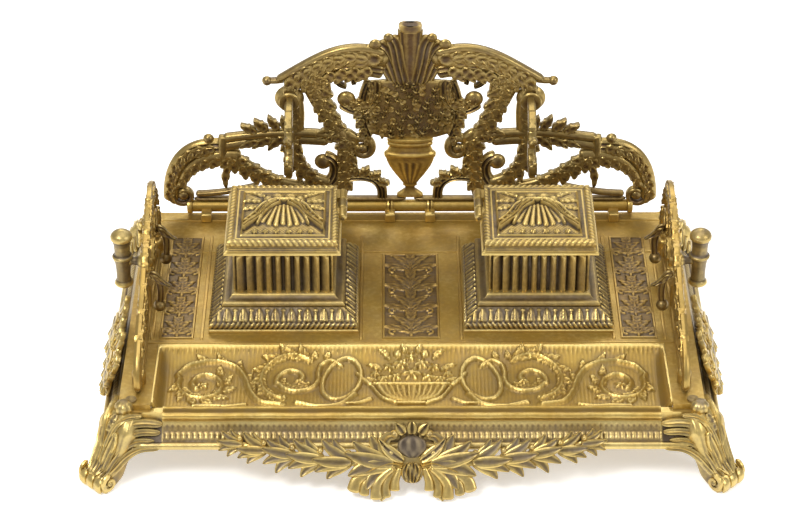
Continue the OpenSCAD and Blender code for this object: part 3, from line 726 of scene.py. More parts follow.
class DESK_OT_deck_panels(DeskStandMaker, bpy.types.Operator):
    """Three embossed leaf panels and the plain ridges on the deck"""

    bl_idname = "desk.deck_panels"
    bl_label = "Deck panels"

    def execute(self, context):
        shape = context.scene.desk_shape
        high, cell, top = shape.deck_relief / MM, shape.cell / MM, deck_top()
        bm = bmesh.new()
        for x0, x1, y0, y1, rows in ((-15, 15, -28, 53, 4), (108, 127, -28, 70, 5), (-130, -112, -28, 70, 5)):
            middle, half, pitch = (x0 + x1) / 2, (x1 - x0) / 2, (y1 - y0 - 3) / rows

            def emboss(x, y, middle=middle, half=half, y0=y0, y1=y1, rows=rows, pitch=pitch):
                r = Relief(np.abs(x - middle), y)
                for row in range(rows):
                    base = y0 + 2.5 + row * pitch
                    r.stroke(route([(0, base), (0, base + pitch)]), 1.0, 0.6, 0.7 * high)
                    r.dome((0, base + 0.55 * pitch), 2.4, high, petals=5)
                    for k, (lean, reach) in enumerate(((18, 0.62), (48, 0.56), (76, 0.5))):
                        r.leaf((0.6, base + (0.12 + 0.2 * k) * pitch), lean, reach * pitch * half / 10,
                               0.3 * pitch, high, bend=0.14, lobes=3)
                    r.stroke(coil((0.62 * half, base + 0.2 * pitch), 2.6, 0.6, -90, 260, 20), 0.8, 0.5,
                             0.8 * high)
                border = np.minimum(half - np.abs(x - middle), np.minimum(y - y0, y1 - y))
                ledge = 0.55 * high * np.clip(border / 0.4, 0, 1) * (border < 1.3)
                ground = 0.12 * np.sin(2 * np.pi * y / 1.6) * (border > 1.3)
                edge = np.clip(border / 0.4, 0, 1)
                return top + edge * (0.15 + ground * high * 0.5) + np.maximum(r.high * (border > 1.0), ledge)

            slab(bm, x0, x1, y0, y1, 0.8 * cell, emboss, top - 0.6)
        on = flat((0, 0, top), (1, 0, 0), (0, 1, 0))
        for x in (-133.5, -108, -26, 26, 104.5, 131):
            strap(bm, on, [(x, -29), (x, 20), (x, 72)], taper(0.9, 0.9), plain_rise(0.55), 0.2, around=8,
                  cell=3, ends=0.01)
        for y in (-31.3, 55.5, 88):
            strap(bm, on, [(-143, y), (0, y), (143, y)], taper(0.8, 0.8), plain_rise(0.5), 0.2, around=8,
                  cell=3, ends=0.004)
        finish_piece("deck_panels", bm, "old_gold_brass", passes=10, depth=0.24,
                     finish=shaded("panel_brass", (126, 104, 60), (176, 150, 86), (72, 58, 36)))
        return {"FINISHED"}


class DESK_OT_pen_tray(DeskStandMaker, bpy.types.Operator):
    """The sunk pen tray, embossed with scrolls about a bowl of flowers"""

    bl_idname = "desk.pen_tray"
    bl_label = "Pen tray"

    def execute(self, context):
        shape = context.scene.desk_shape
        relief, cell = shape.tray_relief / MM, shape.cell / MM
        low, high = box_mm("pen_tray")
        front, back = low[1], high[1]
        slope = joined([(front, low[2] + 2.5), (-62, low[2] + 2.9)],
                       bezier((-60, 32), (-48, 33.2), (-40, 34.8), (back - 1.2, high[2]), 20),
                       [(back, high[2])])

        def emboss(x, y):
            floor = np.interp(y, slope[:, 0], slope[:, 1])
            side = np.abs(x)
            r = Relief(side, y)
            self.bowl(r, relief)
            self.scrolls(r, relief)
            hatch = 0.07 * np.sin(2 * np.pi * x / 1.9) * ((y > -76) & (y < -36))
            band = 0.45 * np.maximum(np.sin(2 * np.pi * x / 2.4), 0) * np.exp(-((y + 36.0) / 1.6) ** 2)
            lip = 0.9 * np.exp(-((y + 80.5) / 1.1) ** 2)
            wall = np.clip((side - (high[0] - 5.5)) / 4.6, 0, 1)
            ground = floor + hatch * (1 - wall) + band + lip + r.high
            return ground * (1 - wall ** 1.6) + high[2] * wall ** 1.6

        bm = bmesh.new()
        slab(bm, low[0], high[0], front, back, cell, emboss, low[2])
        finish_piece("pen_tray", bm, "bright_brass", ["pen_tray"], passes=14, depth=0.3)
        return {"FINISHED"}

    @staticmethod
    def bowl(r, high):
        """Half of the fluted bowl and its flowers, about x = 0."""
        for k in range(6):
            x = 1.4 + 3.0 * k
            r.stroke(route([(0.25 * x, -72.5), (0.75 * x, -68), (x, -60)]), 1.0, 1.7, high)
        r.stroke([(0, -58.6), (19, -58.2)], 1.1, 1.0, 1.15 * high)
        r.stroke([(0, -73.5), (7, -74)], 1.2, 0.9, high)
        r.stroke(route([(8, -73), (15, -69), (20, -60)]), 1.0, 0.9, high)
        for x, y, size, petals in ((0, -50, 5.2, 6), (8.5, -52.5, 4.0, 5), (5.2, -43.5, 4.0, 6),
                                   (14.5, -54, 3.2, 5), (0, -39.5, 3.0, 5), (11.5, -46, 3.2, 5),
                                   (18.6, -50.5, 2.6, 5), (7, -38.2, 2.2, 0)):
            r.dome((x, y), size, 1.15 * high, petals, turn=x * 9)
        for x, y, angle, length in ((15, -48, 25, 9), (17.5, -56, 5, 9), (11, -41, 40, 8), (3, -37.5, 60, 5)):
            r.leaf((x, y), angle, length, 3.6, high, 0.1)

    @staticmethod
    def scrolls(r, high):
        """The oval ring, the acanthus scroll, the stem between and the end scroll of one half."""
        turn = np.linspace(0, 2 * np.pi, 40)
        ring = np.stack([35.5 + 9.5 * np.cos(turn) - 2.5 * np.sin(turn), -55.5 + 15 * np.sin(turn)], 1)
        r.stroke(ring, 1.5, 1.5, 1.05 * high)
        r.stroke(route([(21, -58), (25, -54), (28, -50)]), 1.5, 0.8, high)
        r.stroke(route([(21, -70), (27, -73.5), (33, -74)]), 1.4, 0.7, 0.9 * high)
        r.stroke(route([(29, -66), (36, -74.5), (47, -76.5), (58, -73)]), 2.2, 1.8, 1.15 * high, flutes=0.5)
        scroll = joined(route([(36, -45), (41, -42.0), (46, -44.5), (47.5, -50)]),
                        coil((58, -53), 10.8, 10.2, 170, 330, 24)[1:],
                        coil((59.5, -54.5), 9.4, 3.2, 335, 560, 30)[1:])
        r.stroke(scroll, 1.5, 1.9, 1.15 * high, flutes=0.35)
        r.dome((56.5, -56), 3.0, 1.2 * high, 5)
        outer = coil((60.5, -54), 15.0, 16.5, 125, -70, 40)
        r.foliage(outer, 1, 7, 11, 6.0, 1.05 * high, spread=26, first=0.0, last=0.85, shrink=0.15)
        r.foliage(outer, -1, 6, 9, 5.4, 0.95 * high, spread=30, first=0.06, last=0.9, shrink=0.1)
        r.stroke(outer, 1.8, 3.0, 1.2 * high, flutes=0.9)
        r.foliage(coil((59, -53.5), 8.6, 7.6, 200, 330, 20), 1, 4, 6, 4.4, 0.8 * high, spread=50, shrink=0.1)
        for x, angle in ((44, 120), (50, 104), (56, 92), (62, 84)):
            r.leaf((x, -41.0), angle, 5.0, 4.2, 0.9 * high)
        between = route([(66, -74.5), (76, -72), (81, -64), (84, -54), (89, -46), (97, -42.5), (106, -42)])
        r.foliage(between, 1, 5, 9, 5.0, 0.95 * high, spread=30, first=0.3, last=0.95, shrink=0.1)
        r.stroke(between, 2.8, 1.8, 1.15 * high, flutes=0.7)
        end = joined(route([(106, -42.5), (114, -45), (119, -51)]),
                     coil((105.5, -58.5), 13.5, 4.5, 30, -400, 50)[1:])
        r.foliage(coil((105.5, -58.5), 13.0, 11.5, 20, -230, 40), 1, 8, 8.5, 5.2, 0.95 * high, spread=30,
                  shrink=0.15)
        r.foliage(coil((105.5, -58.5), 10.5, 7.5, 0, -280, 40), -1, 7, 6.0, 4.2, 0.8 * high, spread=34,
                  shrink=0.2)
        r.stroke(end, 1.8, 2.1, 1.2 * high, flutes=0.7)
        r.dome((106, -59), 3.2, 1.2 * high, 5)
        r.stroke(route([(84, -74.5), (92, -76), (100, -75.5), (110, -76)]), 1.2, 1.0, 0.8 * high)


# ---------------------------------------------------------------- rail and skirts


def skirt_pattern(reach, pitch=2.8):
    """Lifts the skirt's face into a row of small arched leaves over a row of tongues."""
    def lift(q, share):
        tongue = np.abs(np.sin(np.pi * q / pitch)) ** 0.7
        arch = np.abs(np.sin(np.pi * (q / pitch + 0.5))) ** 0.8
        lower = np.clip(np.minimum((share - 0.56) / 0.05, (0.98 - share) / 0.1), 0, 1)
        upper = np.clip(np.minimum((share - 0.04) / 0.06, (0.54 - share) / 0.2), 0, 1)
        grain = 0.7 + 0.3 * np.cos(2 * np.pi * q / pitch) * np.cos(2 * np.pi * 4 * share)
        return reach * (lower * tongue + 0.8 * upper * arch * grain)

    return lift


def skirt_bar(bm, face, rest, start, end, at, cell=0.45):
    """A skirt whose face (the first points of its section) carries the tongue pattern."""
    face, rest = dense(face, 0.55), np.array(rest, float)
    section = np.vstack([face, rest])
    slope = np.gradient(face, axis=0)
    slope /= np.linalg.norm(slope, axis=1)[:, None]
    lift = skirt_pattern(0.6)
    loop = np.vstack([section, section[:1]])
    count = len(loop) - 1
    known = range(len(face))

    def place(u, v):
        k = u * count
        a, b = np.interp(k, range(count + 1), loop[:, 0]), np.interp(k, range(count + 1), loop[:, 1])
        q = start + (end - start) * v
        on_face = (k <= len(face) - 1)
        share = np.clip(k / (len(face) - 1), 0, 1)
        off = np.where(on_face, lift(q, share), 0)
        a = a - off * np.interp(k, known, slope[:, 1])
        b = b + off * np.interp(k, known, slope[:, 0])
        return at(q, a, b)

    bent_grid(bm, count, int((end - start) / cell), place)


class DESK_OT_tray_rail(DeskStandMaker, bpy.types.Operator):
    """The double roll along the front of the pen tray"""

    bl_idname = "desk.tray_rail"
    bl_label = "Tray rail"

    def execute(self, context):
        low, high = box_mm("tray_rail")
        back, front, foot, top = high[1], low[1], low[2], high[2]
        section = joined([(back, foot), (back, top - 1.2)], arc((back - 1.2, top - 1.1), 1.1, 20, 170, 10),
                         [(back - 2.7, top - 1.9)], arc((front + 2.0, foot + 1.9), 1.75, 75, 240, 10),
                         [(front, foot)])
        bm = bmesh.new()

        def at(q, a, b):
            wave = 0.08 * np.sin(q / 7.0) + 0.05 * np.sin(q / 2.3 + 1)
            return np.stack([q, a, b + wave * (b > foot + 0.5)], 1)

        bar(bm, section, low[0], high[0], at, 160)
        finish_piece("tray_rail", bm, "bright_brass", ["tray_rail"], passes=3, depth=0.2)
        return {"FINISHED"}


def skirt_edge():
    """Half width and back of the deck, and the lowest edge of the skirt."""
    high = box_mm("deck_plate")[1]
    return high[0], high[1], box_mm("front_skirt")[0][2]


FRONT_CORNER = -88


class DESK_OT_skirts(DeskStandMaker, bpy.types.Operator):
    """The four moulded skirts with their band of leaves and tongues"""

    bl_idname = "desk.skirts"
    bl_label = "Skirts"

    def execute(self, context):
        half, back, low = skirt_edge()
        band = shaded("skirt_brass", (160, 142, 96), (214, 196, 134), (96, 82, 56))
        bead = arc((8, low + 2.2), 2, 110, -90, 12)
        face = [(0.5, 34.5), (1.4, 32), (3.4, 28.4), (6.6, low + 4.6)]
        rest = joined(bead, [(5.5, low + 0.4), (2, low + 2.5), (-1.2, 30), (-4, 33), (-4, 36.9), (0, 36.9)])
        places = {
            "back_skirt": (lambda q, a, b: np.stack([-q, back + a, b], 1), 0),
            "right_skirt": (lambda q, a, b: np.stack([half + a, q, b], 1), 1),
            "left_skirt": (lambda q, a, b: np.stack([-half - a, q, b], 1), 1)}
        for name, (at, across) in places.items():
            lo, hi = box_mm(name)
            bm = bmesh.new()
            skirt_bar(bm, face, rest, lo[across], hi[across], at)
            finish_piece(name, bm, "old_gold_brass", [name], passes=8, depth=0.3, finish=band)
        bm = bmesh.new()
        lo, hi = box_mm("front_skirt")
        front_face = [(1.4, 32.9), (2.4, 30), (4.8, 26.4), (7.0, low + 4.4)]
        front_rest = joined(bead, [(5, low + 0.5), (2.5, low + 2.2), (-2, 25.4), (-12, 25.4), (-12, 28.4),
                                   (-4.5, 28.4), (-4.5, 32.9)])
        skirt_bar(bm, front_face, front_rest, lo[0], hi[0],
                  lambda q, a, b: np.stack([q, FRONT_CORNER - a, b], 1))
        finish_piece("front_skirt", bm, "old_gold_brass", ["front_skirt"], passes=8, depth=0.3, finish=band)
        return {"FINISHED"}


# ---------------------------------------------------------------- feet


class DESK_OT_feet(DeskStandMaker, bpy.types.Operator):
    """Four acanthus feet, each with the mitred corner of the skirt"""

    bl_idname = "desk.feet"
    bl_label = "Feet"

    def execute(self, context):
        half, back, low = skirt_edge()
        corners = {"front_left_foot": (-1, -1), "front_right_foot": (1, -1),
                   "back_left_foot": (-1, 1), "back_right_foot": (1, 1)}
        for name, (sx, sy) in corners.items():
            bm = bmesh.new()
            self.foot(bm, low)
            corner = (half, FRONT_CORNER if sy < 0 else back)
            bmesh.ops.scale(bm, vec=(sx, sy, 1), verts=bm.verts)
            bmesh.ops.translate(bm, vec=Vector((sx * corner[0], corner[1], 0)) * MM, verts=bm.verts)
            finish_piece(name, bm, "old_gold_brass", [name], passes=8, depth=0.3)
        return {"FINISHED"}

    def foot(self, bm, low):
        """One foot about its corner, with the toe towards +X and +Y."""
        out = np.array([1, 1, 0]) / math.sqrt(2)
        along = np.array([1, -1, 0]) / math.sqrt(2)
        shin = route([(-3, 37.6), (1.5, 36.0), (5.6, 31), (7.8, 24), (10.2, 17), (14, 11.6), (18.2, 8.6),
                      (20.7, 5.6)])
        shin = joined(shin, arc((17.2, 3.9), 3.6, 15, -85, 8)[1:])
        leg = wrapped(shin, (0, 0, 0), out, along)
        heel = route([(-12, 28), (-6, 24), (-1.5, 17), (1.5, 9), (4, 3), (8, 0.6), (17, 0.4)])
        self.body(bm, shin, heel, out, along)
        length = Track(shin).length
        strap(bm, leg, [(0, 4), (0, 18), (0, length - 9)], lambda t: 2.9 - 0.7 * np.sin(np.pi * t),
              lambda s, t: 1.3 * (0.7 + 0.3 * np.cos(2 * np.pi * (6 * t + s)) *
                                  np.cos(2 * np.pi * (6 * t - s))),
              0.6, around=18, cell=0.6)
        for m in (-1, 1):
            swap = (lambda p: [(b, a, c) for a, b, c in p]) if m > 0 else (lambda p: list(p))
            facing = (0.85, 0.45, 0.35) if m > 0 else (0.45, 0.85, 0.35)
            for points, w0, w1 in (
                    ([(-22, 2.4, 31.5), (-13, 3.4, 33), (-5, 5, 32.4), (1.5, 6.8, 27.5), (5.6, 9, 20),
                      (8.6, 11.6, 13)],
                     2.0, 2.6),
                    ([(-21, 4.4, 27.8), (-12, 5.4, 28.8), (-4, 7, 27.2), (2.4, 8.8, 21.4), (6.2, 11.2, 14.4),
                      (8.8, 13.6, 9.6)], 1.7, 2.4),
                    ([(-18, 6.8, 24.2), (-10, 7.6, 24.6), (-3, 8.8, 21.6), (2.4, 10.8, 15.6), (6, 13.2, 10.4),
                      (9.2, 15.6, 7.8)], 1.5, 2.2),
                    ([(-21, 8.6, 21.6), (-11, 9.6, 21.2), (-4, 11, 17.4), (1.5, 13, 11.8), (6, 15, 8)], 1.6,
                     2.2),
                    ([(3, 5.4, 27), (6.4, 8.6, 19.5), (9, 11, 13), (13, 14.4, 8.4)], 1.8, 1.8),
                    ([(-12, 2.0, 36.2), (-6, 3.4, 36.4), (-0.5, 5.4, 34), (3.2, 6.6, 28), (6.6, 8.4, 20)],
                     1.3, 2.0)):
                limb(bm, swap(points), taper(w0, w1), fluted(1.9, 1.0), facing, 1.6, around=16)
            for at, angle, size, wide in (((3.6 * m, 24), 90 + 8 * m, 15, 5.0),
                                          ((4.6 * m, 12), 90 + 6 * m, 15, 5.0)):
                leaf(bm, leg, at, angle, size, wide, 1.5, bend=-0.12 * m, lobes=4, back=1.2, blunt=0.7)
            cheek = flat(tuple(8.6 * m * along), tuple(out * m), (0, 0, 1))
            volute = coil((15.2, 5.4), 4.8, 1.2, 100, -330, 30) * np.array([m, 1])
            strap(bm, cheek, volute, taper(1.6, 0.9), plain_rise(1.0), 1.0, around=10, cell=0.7)
            knob(bm, cheek, (15.2 * m, 5.4), 1.6, 1.4)
        for x in (-5.6, 0, 5.6):
            toe = [(x, length - 11), (x, length - 6), (0.9 * x, length - 1)]
            strap(bm, leg, toe, taper(2.3, 2.6), plain_rise(1.0), 1.0, around=14, cell=0.6, ends=0.3)
        self.wings(bm, low)
        ball = route([(0, 0), (2.8, 0.4), (4.6, 2.4), (4.5, 5.2), (2.7, 7.2), (0, 7.7)])
        turned(bm, (-2.8, -2.8, 34.2), (0, 0, 1), ball, around=30, flutes=8, depth=0.07)

    @staticmethod
    def body(bm, shin, heel, out, along):
        """The solid leg between its front and back outlines."""
        front, rear = Track(shin), Track(heel)

        def place(u, v):
            fa, fz = front.at(v)
            ra, rz = rear.at(v)
            s, c = np.sin(2 * np.pi * u), np.cos(2 * np.pi * u)
            s, c = np.sign(s) * np.abs(s) ** 0.6, np.sign(c) * np.abs(c) ** 0.6
            wide = np.interp(v, [0, 0.2, 0.4, 0.55, 0.75, 0.9, 1.0], [8.5, 11.5, 10.2, 8.6, 7.8, 8.9, 8.6])
            groove = 1 - 0.08 * (0.5 + 0.5 * np.cos(2 * np.pi * 5 * c)) * (s > 0)
            a = (fa + ra) / 2 + (fa - ra) / 2 * s * groove
            z = np.maximum((fz + rz) / 2 + (fz - rz) / 2 * s * groove, 0)
            x = wide * c
            return x[:, None] * along + a[:, None] * out + z[:, None] * np.array([0, 0, 1.0])

        bent_grid(bm, 48, 44, place)

    @staticmethod
    def wings(bm, low):
        """The two lengths of skirt beside the foot, mitred at the corner."""
        section = joined([(-4, 36.9), (0, 36.9), (0.5, 34.5), (1.4, 32), (3.4, 28.4), (6.6, low + 4.6)],
                         arc((8, low + 2.2), 2, 110, -90, 10),
                         [(5.5, low + 0.4), (2, low + 2.5), (-1.2, 30), (-4, 33)])
        for m in (0, 1):
            swap = (lambda p: p[:, [1, 0, 2]]) if m else (lambda p: p)

            def at(q, a, b, swap=swap):
                tucked = a * (1 - 0.4 * np.clip((q + 14) / 11, 0, 1) ** 2)
                return swap(np.stack([q, tucked, b], 1))

            bar(bm, section, -22, -2, at, 16)


# ---------------------------------------------------------------- garlands


def lean_surface():
    """The leaning plane of the front garland, from the frame's own box of the bow."""
    lean, reach, thick, height = math.radians(33), 28, 4.0, 24.3
    lowest_front = box_mm("ribbon_bow")[0][1]
    y = lowest_front + reach * math.sin(lean) + thick * math.cos(lean)
    return flat((0, y, height), (1, 0, 0), (0, math.sin(lean), math.cos(lean)))


class DESK_OT_front_garland(DeskStandMaker, bpy.types.Operator):
    """Laurel sprays on either side of the bow"""

    bl_idname = "desk.front_garland"
    bl_label = "Front garland"

    def execute(self, context):
        on = lean_surface()
        bm = bmesh.new()
        stem = bezier((93, 3), (70, -4), (40, -7), (6, -12))
        strap(bm, on, stem, taper(1.2, 2.0), roped(1.8, 16), 1.2)
        for k, (x, y, size) in enumerate(((84, 0.5, 0.66), (72, -2.5, 0.8), (58, -5, 0.88), (44, -7, 0.96),
                                          (30, -8.5, 1.0), (9, -9.5, 1.25))):
            turn = 5 * math.sin(2.1 * k)
            for lean, reach, wide, lift, bow in ((-38 + turn, 15, 6.4, 0.1 + 0.1 * k, 0.22),
                                                 (52, 15, 5.8, 0, -0.22), (-14, 19, 6.6, 0.6 + 0.1 * k, 0.16),
                                                 (34 + turn, 19, 6.0, 0.6, -0.18),
                                                 (9 - turn, 20, 6.2, 1.4, -0.08)):
                leaf(bm, on, (x, y), lean, size * reach, size * wide, 2.1, bend=bow, curl=0.6, lift=lift,
                     back=1.4, around=18, cell=0.6, blunt=0.62)
            knob(bm, on, (x + 1.5, y + 4.6 * size), 1.7, 2.0, base=1.0, around=14, rings=4)
        mirror_across(bm)
        finish_piece("front_garland", bm, "old_gold_brass", ["front_garland"], passes=8, depth=0.4)
        return {"FINISHED"}


class DESK_OT_ribbon_bow(DeskStandMaker, bpy.types.Operator):
    """The ribbon bow, its bud and the little cartouche above it"""

    bl_idname = "desk.ribbon_bow"
    bl_label = "Ribbon bow"

    def execute(self, context):
        on = lean_surface()
        bm = bmesh.new()
        # the pleats of one ribbon end, and its pointed tip
        for points, w0, w1, high in (([(10, -11), (19, -13), (27, -17), (29.5, -23.6)], 2.0, 3.4, 2.0),
                                     ([(10, -11), (17, -14), (22.6, -19), (24, -25.4)], 1.8, 2.6, 1.4),
                                     ([(9, -11), (14, -15), (17.6, -20), (17.6, -27.4)], 1.8, 3.2, 2.8),
                                     ([(8, -11), (11, -15), (13, -20), (12.6, -26.4)], 1.6, 2.4, 1.6),
                                     ([(6, -11), (7, -14), (8.4, -18), (8.6, -23)], 1.6, 2.6, 2.4)):
            strap(bm, on, route(points), taper(w0, w1), plain_rise(high), 1.2, around=18, cell=0.5, ends=0.07)
        leaf(bm, on, (15, -24), -88, 4, 5, 2.0, back=1.2, around=14, cell=0.5)
        # the knot's loops and the curls beside the cartouche
        strap(bm, on, route([(4, -10), (10, -9), (17, -11), (24, -14)]), taper(2.0, 2.6), fluted(3.2, 1), 1.0)
        strap(bm, on, route([(7, 4.5), (12, 4), (14.4, -0.5), (12, -5), (7.4, -6.5)]),
              lambda t: 1.4 + 1.5 * np.sin(np.pi * t), fluted(3.0, 1), 1.0, around=16, cell=0.6)
        knob(bm, on, (8.6, 5.4), 2.3, 2.8, around=20)
        leaf(bm, on, (4, -8), 42, 17, 6, 2.4, bend=-0.14, curl=0.6, lift=1.4, around=16, blunt=0.7)
        mirror_across(bm)
        strap(bm, on, [(0, -8.2), (0, -13.5), (0, -19)],
              lambda t: 5.6 * np.sin(np.pi * (0.08 + 0.84 * t)) ** 0.6,
              lambda s, t: 3.9 * (0.84 + 0.16 * np.cos(2 * np.pi * (2.6 * s + 0.7 * t))), 1.0, around=36,
              cell=0.4, ends=0.1)
        strap(bm, on, [(0, -14), (0, -9), (0, -4)], taper(6, 6), plain_rise(0.8), 1.6, around=20, cell=0.6,
              ends=0.2)
        for angle in (52, 90, 128):
            leaf(bm, on, (0.1 * (90 - angle), 5.5), angle, 6.6, 5.4, 2.6, lift=0.8, curl=0.4, blunt=0.7)
        finish_piece("ribbon_bow", bm, "old_gold_brass", ["ribbon_bow"], passes=8, depth=0.35)
        bm = bmesh.new()
        strap(bm, on, [(0, -6.5), (0, -0.5), (0, 5)],
              lambda t: 7.2 * np.sin(np.pi * (0.12 + 0.76 * t)) ** 0.5,
              lambda s, t: 2.4 + 0.5 * np.cos(3 * np.pi * s + 1) * np.cos(5 * t), 0.8, around=36, cell=0.5,
              ends=0.3)
        finish_piece("bow_cartouche", bm, "fasteners", passes=8, depth=0.5,
                     finish=shaded("dark_cast", (92, 84, 76), (150, 140, 120), (50, 42, 34), 0.42))
        return {"FINISHED"}


class DESK_OT_side_garlands(DeskStandMaker, bpy.types.Operator):
    """Laurel along the sloping side skirts"""

    bl_idname = "desk.side_garlands"
    bl_label = "Side garlands"

    def execute(self, context):
        for name in SIDES:
            lo, hi = box_mm(name + "_garland")
            on = flat((150.2, 0, 38), (0, 1, 0), (-0.44, 0, 0.898))
            bm = bmesh.new()
            strap(bm, on, bezier((lo[1] + 1, -9), (-44, -6), (-10, -8), (hi[1] - 14, -7)), taper(1.6, 1.6),
                  roped(1.8, 20), 1.2)
            for k, y in enumerate(np.linspace(hi[1] - 20, lo[1] + 18, 7)):
                swell = 1.0 + 0.12 * math.sin(1.9 * k)
                for lean, reach, wide, lift, bow in ((150, 15, 7.5, 0.3, 0.2), (-152, 15, 7.5, 0.3, -0.2),
                                                     (172, 17, 7.5, 1.2, 0.1), (-116, 12, 6.5, 0.0, -0.2),
                                                     (118, 15, 7.0, 0.0, 0.2), (84, 13, 6.5, -0.4, 0.15)):
                    leaf(bm, on, (y, -8 + 0.8 * (-1) ** k), lean, reach * swell, wide * swell, 2.2, bend=bow,
                         curl=0.8, lift=lift, back=1.4, around=16, cell=0.8, blunt=0.65)
            for vert in bm.verts:
                vert.co.y = min(max(vert.co.y, (lo[1] + 0.3) * MM), (hi[1] - 0.3) * MM)
            finish_side(name, "garland", bm, "old_gold_brass", passes=8, depth=0.4)
        return {"FINISHED"}


# ---------------------------------------------------------------- gallery


def gallery_surface():
    lo, hi = box_mm("gallery_scrollwork")
    return flat((0, (lo[1] + hi[1]) / 2, 0), (1, 0, 0), (0, 0, 1))


class DESK_OT_gallery_rod(DeskStandMaker, bpy.types.Operator):
    """The round rail under the gallery, with its collars and feet"""

    bl_idname = "desk.gallery_rod"
    bl_label = "Gallery rail"

    def execute(self, context):
        hi = box_mm("gallery_rod")[1]
        y, z, r = hi[1] - 4.5, hi[2] - 4.5, 3.4
        half = [(0.0, 0.0), (r, 0), (r, 9.3), (r + 0.9, 9.6), (r + 1.1, 10.4), (r - 0.3, 10.9),
                (r - 0.3, 11.1), (r + 1.1, 11.6), (r + 0.9, 12.4), (r, 12.7), (r, 60), (r, 100), (r, 119.8),
                (r + 0.8, 120.2), (r + 1.1, 121.4), (r + 0.8, 122.6), (r - 0.6, 123), (0.0, 123)]
        profile = [(a, -b) for a, b in reversed(half[1:])] + half[1:]
        bm = bmesh.new()
        turned(bm, (0, y, z), (1, 0, 0), profile, around=32)
        for x in (-112, -11, 11, 112):
            made = block(bm, (5.6, 9.6, 5), (x, y - 5, 42.6))
            edges = list({e for v in made for e in v.link_edges})
            bmesh.ops.bevel(bm, geom=edges, offset=0.7 * MM, offset_type="OFFSET", segments=3, profile=0.5,
                            affect="EDGES", material=-1)
        finish_piece("gallery_rod", bm, "old_gold_brass", ["gallery_rod"], passes=3, depth=0.5,
                     finish=metal("bright_brass"))
        return {"FINISHED"}


